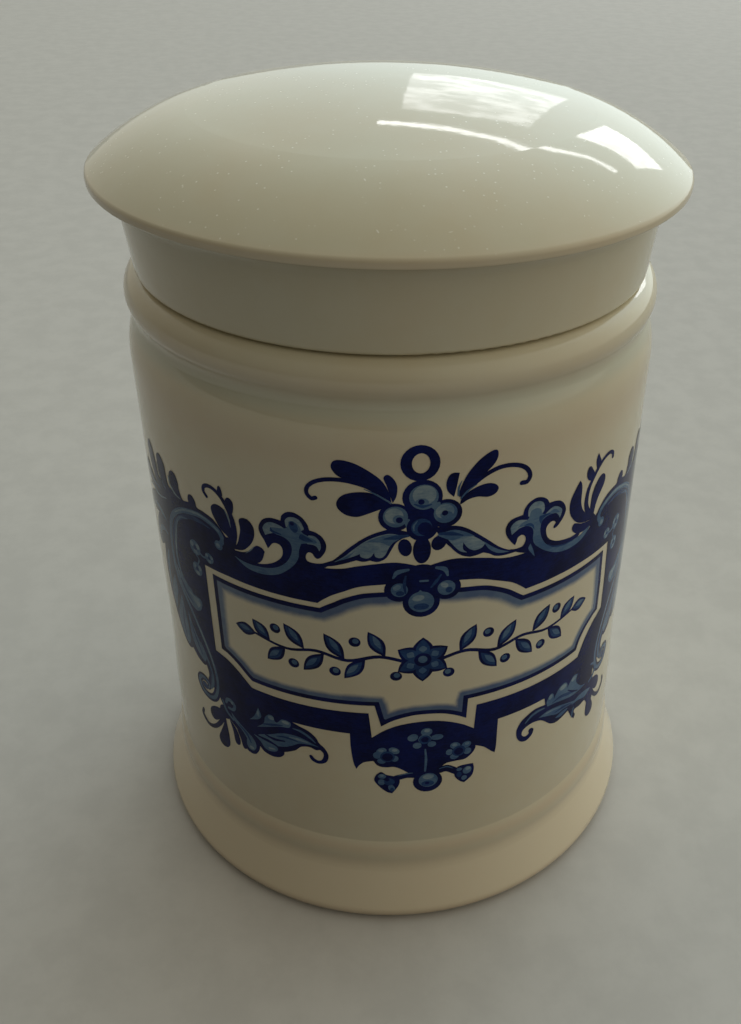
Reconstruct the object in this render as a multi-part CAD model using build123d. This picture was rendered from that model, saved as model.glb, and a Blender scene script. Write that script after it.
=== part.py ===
from build123d import *
from math import asin, atan2, degrees, pi, tan
import os

# A lidded pharmacy jar in glazed ceramic: a tall-walled jar on a spread foot, with a rounded lip, and a low
# domed lid that rests on the lip and lifts off. Both pieces are turned shapes, so each is one half
# section, drawn with x as the radius and y as the height, and revolved about the Z axis.
# Millimetres, +Z up. The origin is the centre of the foot ring's underside, on the surface the jar stands on.

# Jar: wall, floor and mouth
wall_radius = 47.6  # outside of the wall, through most of its height
wall_swell = 0.5  # how much wider the lowest part of the wall is
swell_low = 28.0  # up to here the wall has its lower width
swell_high = 48.0  # from here up it has its main width
wall_thickness = 4.8
jar_height = 121.0  # foot ring to the flat land that carries the lid
floor_thickness = 5.5
floor_round = 9.0  # inside corner between wall and floor
mouth_inset = 7.8  # mouth, in from the outside of the wall
mouth_depth = 9.5  # straight part of the mouth, down from the land
throat_height = 4.5  # slope between the mouth and the full width inside
mouth_edge_round = 1.2

# Jar: foot
foot_spread = 5.2  # foot's outer corner before rounding, out from the low wall
foot_edge_round = 2.4
foot_height = 13.7  # where the foot's leaning face would reach the low wall
cove_round = 6.0  # between the leaning face and the ridge
ring_width = 8.0  # bearing ring, measured before its edges are rounded
ring_edge_round = 1.0
recess_depth = 2.8  # underside within the ring

# Jar: low ridge above the foot, and the lip
ridge_height = 15.4
ridge_stand = 0.75  # ridge's crest, out from the low wall
ridge_round = 9.0
shoulder_drop = 15.0  # where the wall starts to turn in, below the land
shoulder_round = 16.5
lip_drop = 4.0  # middle of the lip's bulge, below the land
lip_round = 3.6
lip_inset = 0.45  # lip's crest, in from the wall
land_inset = 4.5  # outer edge of the land, in from the wall
land_edge_round = 0.3
groove_round = 2.6  # under the lip
glaze_round = 0.8  # how softly the glaze fills an inside crease

# Lid: dome, rim and collar
lid_height = 28.6  # seat to the top of the dome
lid_overhang = 2.9  # lid's rim, out from the wall of the jar
crown_round = 149.0  # middle of the dome
shoulder_width = 16.7  # rim, in to where the dome starts to fall faster
rim_top_round = 1.0
rim_under_round = 0.4
collar_height = 15.0  # seat to the underside of the rim
collar_inset = 2.7  # collar's foot, in from the wall of the jar
collar_flare = 1.7  # how much wider the collar is under the rim
rim_flat = 0.4  # left between the rounds under the rim
collar_edge_round = 0.9

# Lid: hollow and locating ring
lid_wall = 4.3
spigot_clearance = 0.9  # between the locating ring and the mouth, all round
spigot_wall = 3.8
spigot_depth = 11.0  # how far the locating ring reaches into the mouth
spigot_edge_round = 1.2
hollow_round = 4.0  # under the dome
ledge_round = 1.8  # above the seat

# Radii and heights that follow
low_radius = wall_radius + wall_swell
foot_corner_radius = low_radius + foot_spread
inner_radius = wall_radius - wall_thickness
mouth_radius = wall_radius - mouth_inset
land_radius = wall_radius - land_inset
ring_inner = foot_corner_radius - ring_width
floor_top = recess_depth + floor_thickness
shoulder_height = jar_height - shoulder_drop
lip_height = jar_height - lip_drop
lip_centre_radius = wall_radius - lip_inset - lip_round
mouth_bottom = jar_height - mouth_depth
throat_bottom = mouth_bottom - throat_height

seat_height = jar_height
lid_top = seat_height + lid_height
lid_radius = wall_radius + lid_overhang
rim_under = seat_height + collar_height
rim_over = rim_under + rim_under_round + rim_top_round
crown_reach = lid_radius - shoulder_width
collar_radius = wall_radius - collar_inset
collar_top_radius = collar_radius + collar_flare
collar_lean = atan2(collar_flare, collar_height)
cove_reach = lid_radius - rim_under_round - rim_flat - collar_top_radius
collar_cove = cove_reach / tan((pi / 2 - collar_lean) / 2)
spigot_radius = mouth_radius - spigot_clearance
spigot_bore = spigot_radius - spigot_wall
spigot_bottom = seat_height - spigot_depth
hollow_radius = collar_radius - lid_wall
hollow_floor = seat_height + lid_wall


def block(radius_in, radius_out, bottom, top):
    """Rectangle of a half section between two radii and two heights."""
    return make_face(
        Polyline((radius_in, bottom), (radius_out, bottom), (radius_out, top), (radius_in, top), close=True)
    )


def rounded(section, radius, *corners):
    """Rounds the vertex of the section that lies nearest to each (radius, height) corner."""
    for corner in corners:
        point = Vector(*corner)
        nearest = min(section.vertices(), key=lambda vertex: (Vector(*vertex) - point).length)
        section = fillet(nearest, radius)
    return section


def turned(section):
    """Revolves a half section about the Z axis."""
    return revolve(Plane.XZ * section, axis=Axis.Z)


def jar_outside():
    """Half section of the jar's outer form, solid to the axis."""
    turn = degrees(asin((lip_height - shoulder_height) / shoulder_round))
    shoulder = CenterArc((wall_radius - shoulder_round, shoulder_height), shoulder_round, 0, turn)
    swell_middle = (wall_radius + wall_swell / 2, (swell_low + swell_high) / 2)
    swell = TangentArc((low_radius, swell_low), swell_middle, tangent=(0, 1))
    swell_end = TangentArc(swell_middle, (wall_radius, swell_high), tangent=swell % 1)
    wall = Line(swell_end @ 1, shoulder @ 0)
    outline = Polyline(
        shoulder @ 1,
        (land_radius, lip_height),
        (land_radius, jar_height),
        (0, jar_height),
        (0, 0),
        (foot_corner_radius, 0),
        (low_radius, foot_height),
        swell @ 0,
    )
    section = make_face(outline + swell + swell_end + wall + shoulder)
    ridge = Pos(low_radius + ridge_stand - ridge_round, ridge_height) * Circle(ridge_round)
    lip = Pos(lip_centre_radius, lip_height) * Circle(lip_round)
    return section + ridge + lip


def jar_hollow():
    """Half section of the space inside the jar, up through the mouth."""
    section = make_face(
        Polyline(
            (0, floor_top),
            (inner_radius, floor_top),
            (inner_radius, throat_bottom),
            (mouth_radius, mouth_bottom),
            (mouth_radius, jar_height),
            (0, jar_height),
            close=True,
        )
    )
    section = rounded(section, floor_round, (inner_radius, floor_top))
    return rounded(section, throat_height / 2, (inner_radius, throat_bottom), (mouth_radius, mouth_bottom))


def jar():
    section = jar_outside() - jar_hollow() - block(0, ring_inner, 0, recess_depth)
    section = rounded(section, foot_edge_round, (foot_corner_radius, 0))
    section = rounded(section, ring_edge_round, (ring_inner, 0), (ring_inner, recess_depth))
    section = rounded(section, cove_round, (low_radius, foot_height))
    section = rounded(section, glaze_round, (low_radius, ridge_height + ridge_round / 2))
    section = rounded(section, groove_round, (wall_radius - lip_inset, lip_height - lip_round))
    section = rounded(section, mouth_edge_round, (mouth_radius, jar_height))
    section = rounded(section, land_edge_round, (land_radius, jar_height))
    return turned(section)


def dome_section():
    """Half section of the lid's dome, rim and collar, solid to the axis and down to the seat."""
    crown_angle = degrees(asin(crown_reach / crown_round))
    crown = CenterArc((0, lid_top - crown_round), crown_round, 90 - crown_angle, crown_angle)
    rim_corner = (lid_radius, rim_over)
    fall = TangentArc(crown @ 0, rim_corner, tangent=-(crown % 0))
    outline = Polyline(
        rim_corner,
        (lid_radius, rim_under),
        (collar_top_radius, rim_under),
        (collar_radius, seat_height),
        (0, seat_height),
        (0, lid_top),
    )
    return make_face(crown + fall + outline)


def lid():
    dome = dome_section()
    spigot = block(0, spigot_radius, spigot_bottom, seat_height)
    hollow = Pos(0, -lid_wall) * dome & block(0, hollow_radius, hollow_floor, lid_top)
    hollow = rounded(hollow, hollow_round, (hollow_radius + lid_wall, lid_top - lid_wall))
    hollow = rounded(hollow, ledge_round, (hollow_radius, hollow_floor))
    section = dome + spigot - hollow - block(0, spigot_bore, spigot_bottom, hollow_floor)
    section = rounded(section, rim_top_round, (lid_radius, rim_over))
    section = rounded(section, rim_under_round, (lid_radius, rim_under))
    section = rounded(section, collar_cove, (collar_top_radius, rim_under))
    section = rounded(section, collar_edge_round, (collar_radius, seat_height))
    section = rounded(
        section, spigot_edge_round, (spigot_radius, spigot_bottom), (spigot_bore, spigot_bottom)
    )
    section = rounded(section, glaze_round, (spigot_radius, seat_height), (spigot_bore, hollow_floor))
    return turned(section)


os.makedirs("parts", exist_ok=True)
for name, piece in {"jar_body": jar(), "lid": lid()}.items():
    export_step(piece, f"parts/{name}.step")
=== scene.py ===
"""A lidded pharmacy jar in cream glazed ceramic, with a cartouche painted in cobalt blue on its front.

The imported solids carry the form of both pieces. This file glazes them, paints the cartouche as thin
layers that follow the jar's wall, and sets the stage. All lengths are metres, except in the drawing of the
cartouche, which is laid out flat in millimetres: x runs round the wall from the middle of the front, and y
is the height.
"""

import math

import bpy
import numpy as np
from mathutils import Matrix, Vector
from mathutils.geometry import delaunay_2d_cdt


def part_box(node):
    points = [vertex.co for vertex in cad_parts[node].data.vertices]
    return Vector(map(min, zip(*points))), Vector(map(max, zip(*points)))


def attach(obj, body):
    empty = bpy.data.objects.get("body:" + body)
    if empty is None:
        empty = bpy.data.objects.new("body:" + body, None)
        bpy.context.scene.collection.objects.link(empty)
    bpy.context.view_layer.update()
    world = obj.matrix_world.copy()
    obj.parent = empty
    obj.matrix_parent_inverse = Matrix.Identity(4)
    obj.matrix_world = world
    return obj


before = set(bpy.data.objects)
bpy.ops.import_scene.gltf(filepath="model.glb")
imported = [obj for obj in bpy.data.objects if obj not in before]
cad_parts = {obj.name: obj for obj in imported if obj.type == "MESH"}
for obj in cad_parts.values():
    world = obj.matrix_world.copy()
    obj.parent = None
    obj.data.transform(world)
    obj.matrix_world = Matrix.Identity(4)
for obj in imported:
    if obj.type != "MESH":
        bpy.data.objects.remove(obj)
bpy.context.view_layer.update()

bl_info = {
    "name": "Pharmacy Jar",
    "version": (1, 0, 0),
    "blender": (4, 5, 0),
    "location": "3D View > Sidebar > Jar",
    "description": "Glazes a lidded pharmacy jar, paints its cartouche and sets the stage",
    "category": "Object",
}

MM = 0.001
JAR_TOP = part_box("jar_body")[1].z


def wall_line():
    """Heights and radii of the outside of the wall, from the jar's own rings of vertices."""
    places = np.array([vertex.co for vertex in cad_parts["jar_body"].data.vertices])
    radius = np.hypot(places[:, 0], places[:, 1])
    height = places[:, 2].round(6)
    outside = (radius > 0.9 * radius.max()) & (height > 0.2 * JAR_TOP) & (height < 0.9 * JAR_TOP)
    heights = np.unique(height[outside])
    return heights, np.array([radius[outside & (height == ring)].max() for ring in heights])


WALL_LINE = wall_line()
WALL = np.interp(0.6 * JAR_TOP, *WALL_LINE)

# Heights at which the glaze changes, and where it carries painted light and painted pink reflections
FOOT_HEIGHT = 0.017  # top of the spread foot
RIDGE_HEIGHT = 0.0172  # crest of the ridge over it
SHOULDER_HEIGHT = JAR_TOP - 0.016
GROOVE_HEIGHT = JAR_TOP - 0.0086
LIP_HEIGHT = JAR_TOP - 0.0045
RIM_HEIGHT = JAR_TOP + 0.0158  # edge of the lid

# Drawing of the cartouche, in millimetres
STEPS = 6  # straight runs between two points of a smooth line
ARCH_STEPS = 4  # the same along the edge of the panel
INSET_RUN = 0.6  # longest straight run that is moved inwards in one piece
LINE_WIDTH = 0.95  # dark line inside the panel's frame
WASH_RINGS = (0, 0.3, 0.6, 0.9, 1.3, 1.7, 2.1, 2.5, 3.0)  # contours of the wash inside it
WASH_HEIGHTS = (50, 62, 80)  # foot, middle and top of the panel
WASH_SHARES = (0.65, 0.75, 1.0)  # width of the wash there

# Windows: name, azimuth and elevation in degrees, width, height, share of the power, and how clouded
WINDOWS = (
    ("tall_window", 76.5, 19, 0.43, 0.64, 0.8, 0.7),
    ("wide_window", 56, 22, 0.52, 0.31, 1.8, 0.4),
    ("top_light", 66.5, 34.2, 1.17, 0.045, 2.1, 0),
)
WINDOW_DISTANCE = 2.0
DAY_SIDE = (0.5, 0.75, 0.44)  # right, back and up: where the soft light round the windows is strongest
DAY_FOCUS = 4  # how fast it falls off from there
WALL_SIDES = (0.93, 0.7, 0.29)  # light from the right, from behind and from above
SEEN_WORLD = 0.6  # the backdrop over the floor, as the camera sees it
CAMERA_TILT = 0.5937
CAMERA_ROLL = 0.0286
CAMERA_PAN = -0.0585
CAMERA_SHIFT = (-0.0737, 0.0032)


def srgb(red, green, blue):
    """Linear colour from the 0 to 255 values of a screen colour."""
    return tuple(
        c / 255 / 12.92 if c <= 10 else ((c / 255 + 0.055) / 1.055) ** 2.4 for c in (red, green, blue)
    )


# ---------------------------------------------------------------- shaders


class Signal:
    """A shader socket. Arithmetic on it adds the Math nodes."""

    def __init__(self, finish, socket):
        self.finish = finish
        self.socket = socket

    def math(self, operation, *terms):
        """A Math node on the terms, which are signals or numbers."""
        return self.finish.node("ShaderNodeMath", {"operation": operation}, dict(enumerate(terms)))

    def __add__(self, other):
        return self.math("ADD", self, other)

    __radd__ = __add__

    def __sub__(self, other):
        return self.math("SUBTRACT", self, other)

    def __rsub__(self, other):
        return self.math("SUBTRACT", other, self)

    def __mul__(self, other):
        return self.math("MULTIPLY", self, other)

    __rmul__ = __mul__

    def __pow__(self, other):
        return self.math("POWER", self, other)

    def __rpow__(self, other):
        return self.math("POWER", other, self)

    def __abs__(self):
        return self.math("ABSOLUTE", self)


class Finish:
    """A material or a world, built node by node."""

    def __init__(self, owner):
        owner.use_nodes = True
        self.owner = owner
        self.nodes = owner.node_tree.nodes
        self.links = owner.node_tree.links
        self.nodes.clear()

    def node(self, kind, settings=None, sockets=None, output=0):
        """Adds a node of that kind: its settings first, then the values or links of its sockets."""
        node = self.nodes.new(kind)
        for name, value in (settings or {}).items():
            setattr(node, name, value)
        for key, value in (sockets or {}).items():
            if isinstance(value, Signal):
                self.links.new(value.socket, node.inputs[key])
            else:
                node.inputs[key].default_value = value
        return Signal(self, node.outputs[output])

    def place(self, output="Object"):
        """Where the shaded point is, in the object's own metres."""
        return self.node("ShaderNodeTexCoord", output=output)

    def part(self, vector, axis):
        """One of the vector's three parts."""
        return self.node("ShaderNodeSeparateXYZ", sockets={0: vector}, output=axis)

    def stretched(self, vector, scale, turn=(0, 0, 0)):
        """The vector in a frame that is turned and stretched, so that what it draws is too."""
        return self.node("ShaderNodeMapping", {"vector_type": "TEXTURE"}, {0: vector, 2: turn, 3: scale})

    def noise(self, vector, size, detail=2.0, roughness=0.5):
        """Soft noise from 0 to 1 with features of about that size in metres."""
        sockets = {"Vector": vector, "Scale": 1 / size, "Detail": detail, "Roughness": roughness}
        return self.node("ShaderNodeTexNoise", sockets=sockets)

    def ramp(self, value, low, high, start=0.0, end=1.0):
        """Smooth step of the value from start at low to end at high."""
        settings = {"interpolation_type": "SMOOTHSTEP"}
        return self.node("ShaderNodeMapRange", settings, {0: value, 1: low, 2: high, 3: start, 4: end})

    def specks(self, vector, spacing, radius, share):
        """Round specks of that radius, in that share of cells that are a spacing apart."""
        sockets = {"Vector": vector, "Scale": 1 / spacing}
        near = self.node("ShaderNodeTexVoronoi", sockets=sockets, output="Distance")
        chance = self.node("ShaderNodeTexVoronoi", sockets=sockets, output="Color")
        rare = self.ramp(self.part(chance, 0), 1 - share - 0.01, 1 - share)
        return rare * self.ramp(near, 0.5 * radius / spacing, radius / spacing, 1, 0)

    def mix(self, share, first, second):
        """Colour between first and second."""
        sockets = {0: share, 6: colour4(first), 7: colour4(second)}
        return self.node("ShaderNodeMix", {"data_type": "RGBA"}, sockets, output=2)

    def bump(self, height, depth, after=None):
        """Surface normal of a relief that is depth metres high."""
        sockets = {"Height": height, "Distance": depth, "Strength": 1}
        if after:
            sockets["Normal"] = after
        return self.node("ShaderNodeBump", sockets=sockets)

    def surface(self, **sockets):
        """The principled shader with these sockets, led to the material's output."""
        named = {name.replace("_", " "): value for name, value in sockets.items()}
        shader = self.node("ShaderNodeBsdfPrincipled", sockets=named)
        self.node_out("ShaderNodeOutputMaterial", shader)
        return self.owner

    def node_out(self, kind, shader):
        """Leads the shader to an output node."""
        out = self.nodes.new(kind)
        self.links.new(shader.socket, out.inputs["Surface"])


def colour4(value):
    """A colour as a socket takes it, with its alpha."""
    return value if isinstance(value, Signal) or len(value) == 4 else (*value, 1)


# ---------------------------------------------------------------- drawing


def curve(points, steps=STEPS):
    """Smooth open line through the points (Catmull-Rom)."""
    first = (2 * points[0][0] - points[1][0], 2 * points[0][1] - points[1][1])
    last = (2 * points[-1][0] - points[-2][0], 2 * points[-1][1] - points[-2][1])
    chain = [first, *points, last]
    line = []
    for i in range(1, len(chain) - 2):
        for k in range(steps):
            line.append(between(chain[i - 1:i + 3], k / steps))
    return [*line, points[-1]]


def between(four, t):
    """Point a share t of the way from the second to the third of four points."""
    weights = (
        -0.5 * t + t * t - 0.5 * t ** 3,
        1 - 2.5 * t * t + 1.5 * t ** 3,
        0.5 * t + 2 * t * t - 1.5 * t ** 3,
        -0.5 * t * t + 0.5 * t ** 3,
    )
    return tuple(sum(w * p[axis] for w, p in zip(weights, four)) for axis in (0, 1))


def blob(*points):
    """Smooth closed outline through the points."""
    count = len(points)
    return [
        between([points[(i + k) % count] for k in (-1, 0, 1, 2)], step / STEPS)
        for i in range(count)
        for step in range(STEPS)
    ]


def leaf(*sides):
    """Closed outline from smooth lines that meet in sharp points; each runs on to the start of the next."""
    outline = []
    for side, following in zip(sides, sides[1:] + sides[:1]):
        tip = following[0]
        outline += curve([*side, tip, tip])[:-1]  # the tip counts twice, which keeps it sharp
    return outline


def disc(x, y, r, ry=None, tilt=0, count=24):
    """Round or oval outline, its second radius turned by tilt degrees."""
    ry = ry or r
    c, s = math.cos(math.radians(tilt)), math.sin(math.radians(tilt))
    outline = []
    for i in range(count):
        a = math.tau * i / count
        p, q = r * math.cos(a), ry * math.sin(a)
        outline.append((x + p * c - q * s, y + p * s + q * c))
    return outline


def stroke(points, widths):
    """Brush stroke along a smooth line, as wide as the widths say along it, with round ends."""
    line = curve(points)
    sides = [], []
    normals = []
    for i in range(len(line)):
        (x0, y0), (x1, y1) = line[max(i - 1, 0)], line[min(i + 1, len(line) - 1)]
        length = math.hypot(x1 - x0, y1 - y0)
        normals.append(((y0 - y1) / length, (x1 - x0) / length))
    for i, (x, y) in enumerate(line):
        share = i / (len(line) - 1) * (len(widths) - 1)
        k = min(int(share), len(widths) - 2)
        half = 0.5 * (widths[k] + (widths[k + 1] - widths[k]) * (share - k))
        nx, ny = normals[i]
        sides[0].append((x + nx * half, y + ny * half))
        sides[1].append((x - nx * half, y - ny * half))
    far_cap = cap(line[-1], normals[-1], widths[-1])
    near_cap = cap(line[0], (-normals[0][0], -normals[0][1]), widths[0])
    return [*sides[0], *far_cap, *reversed(sides[1]), *near_cap]


def cap(end, normal, width):
    """Half circle round the end of a stroke, from the normal's side to the other."""
    x, y = end
    nx, ny = normal
    points = []
    for k in range(1, 6):
        a = math.pi * k / 6
        c, s = math.cos(a), math.sin(a)
        points.append((x + 0.5 * width * (nx * c + ny * s), y + 0.5 * width * (ny * c - nx * s)))
    return points


def inset(outline, depth):
    """The outline moved inwards by depth, with mitred corners. The outline runs clockwise."""
    moved = []
    for i, (x, y) in enumerate(outline):
        (x0, y0), (x1, y1) = outline[i - 1], outline[(i + 1) % len(outline)]
        a = math.atan2(y - y0, x - x0)
        turn = (math.atan2(y1 - y, x1 - x) - a + math.pi) % math.tau - math.pi
        reach = depth / math.cos(turn / 2)
        moved.append((x + reach * math.sin(a + turn / 2), y - reach * math.cos(a + turn / 2)))
        length = math.hypot(x1 - x, y1 - y)
        across = (y1 - y) / length * depth, (x - x1) / length * depth
        runs = math.ceil(length / INSET_RUN)
        for k in range(runs + 1):
            moved.append((x + (x1 - x) * k / runs + across[0], y + (y1 - y) * k / runs + across[1]))
    clear = closeness(outline, np.array(moved)) > 0.995 * depth
    return [point for point, kept in zip(moved, clear) if kept]


def mirror(outline):
    """The outline on the other side of the front's middle line."""
    return [(-x, y) for x, y in reversed(outline)]


# The drawing in painter's order, as pairs of a paint and an outline. The paints are "dark", "mid", "pale"
# and "faint" cobalt, "panel" for the glaze and wash inside the frame, and "bare" where the jar's own glaze
# shows.
figures = []


def put(paint, *outlines):
    """Adds the outlines to the drawing."""
    figures.extend((paint, outline) for outline in outlines)


def put_pair(paint, *outlines):
    """Adds each outline and its mirror image."""
    for outline in outlines:
        put(paint, outline, mirror(outline))


def frame_outline():
    """Outer edge of the panel's light frame, clockwise from the left end of the top arch."""
    return [
        *curve([(-17.7, 76.8), (-16.7, 77.7), (-15.1, 78.9), (-13.2, 79.9), (-11.0, 81.0), (-8.5, 81.6),
                (-4, 82.1), (0, 82.2), (4, 82.0), (9.0, 81.4), (12.0, 80.4), (15.3, 79.0), (17.2, 77.6),
                (18.4, 76.5)], ARCH_STEPS),
        (25.3, 76.5), (31.7, 76.4), (40.8, 75.9), (41.1, 72), (41.5, 67.2),
        *curve([(41.8, 59.8), (40.0, 59.0), (38.1, 57.9), (36.5, 56.3), (35.2, 54.3),
                (34.2, 52.4)], ARCH_STEPS),
        (10.1, 52.7),
        *curve([(9.8, 46.9), (7.2, 48.8), (4, 50.2), (0.4, 50.7), (-3.5, 50.2), (-6.5, 48.9),
                (-9.0, 46.9)], ARCH_STEPS),
        (-9.5, 52.9),
        *curve([(-32.3, 52.3), (-33.4, 53.2), (-35.3, 54.8), (-37.6, 56.1), (-39.8, 56.6),
                (-41.1, 56.7)], ARCH_STEPS),
        (-41.1, 76.3), (-35, 76.7),
    ]


def line_outline():
    """Outer edge of the dark line inside the frame, clockwise from the same end."""
    return [
        *curve([(-17.4, 75.8), (-16.4, 76.5), (-15.1, 77.3), (-13.2, 78.5), (-10.0, 79.8), (-6, 80.3),
                (0, 80.7), (6.2, 80.2), (10.0, 79.8), (12.4, 79.0), (15.0, 77.6), (16.9, 76.1),
                (18.0, 75.25)], ARCH_STEPS),
        (31.7, 75.1), (39.1, 74.9), (39.7, 67.2),
        *curve([(39.8, 60.7), (38.1, 60.2), (35.8, 58.8), (34.2, 56.9), (33.3, 54.7)], ARCH_STEPS),
        (8.4, 54.7),
        *curve([(8.2, 50.0), (6, 51.3), (3.5, 52.2), (0.5, 52.5), (-2, 52.3), (-5, 51.3),
                (-7.3, 49.8)], ARCH_STEPS),
        (-8.4, 54.8),
        *curve([(-32.1, 54.1), (-33.4, 55.1), (-35.3, 56.7), (-37.6, 57.9), (-39.2, 58.2)], ARCH_STEPS),
        (-39.2, 75.3), (-25, 75.7),
    ]


def ground():
    """Dark ground behind the frame, out to the scrolls."""
    put_pair(
        "dark",
        leaf(
            [(0, 85.0), (2.0, 85.8), (4.8, 86.3), (8.0, 85.9), (10.8, 85.3), (13.2, 84.6), (16.0, 84.3)],
            [(20.2, 84.4), (22.0, 83.4), (24.4, 82.1), (27.0, 81.6), (29.6, 81.8), (31.6, 82.4)],
            [(34.8, 84.4), (37.0, 85.8), (41, 86.3), (46, 84.8), (50, 81.0), (52.2, 75.5), (52.0, 70.5),
             (50.2, 66.0), (47.4, 61.6), (44.6, 57.6), (42.9, 53.2), (42.4, 48.5), (41.4, 44.0)],
            [(38.5, 40.8), (34, 42.0), (29, 43.5), (26.4, 46.0)],
            [(25.2, 47.4), (12, 47.5)],
            [(0, 47.5)],
        ),
    )


def cloth():
    """Points of the cloth that hangs under the frame."""
    put(
        "dark",
        leaf(
            [(-13.0, 47.6), (-12.9, 44), (-12.5, 40.4)],
            [(-11.95, 38.7), (-11.4, 39.7), (-10.4, 40.6)],
            [(-8.8, 41.0), (-8.0, 39.9), (-6.6, 39.5), (-5.0, 39.6), (-3.6, 38.9)],
            [(-2.0, 37.6), (1, 37)],
            [(3.4, 38.4), (4.6, 39.4), (6.4, 39.6), (8.2, 39.6), (9.5, 40.5), (10.2, 41.6)],
            [(10.3, 42.4), (12.0, 41.4), (13.4, 39.9)],
            [(14.3, 39.1), (14.55, 41), (14.6, 44)],
            [(14.65, 47.6), (0, 49)],
        ),
    )


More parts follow.
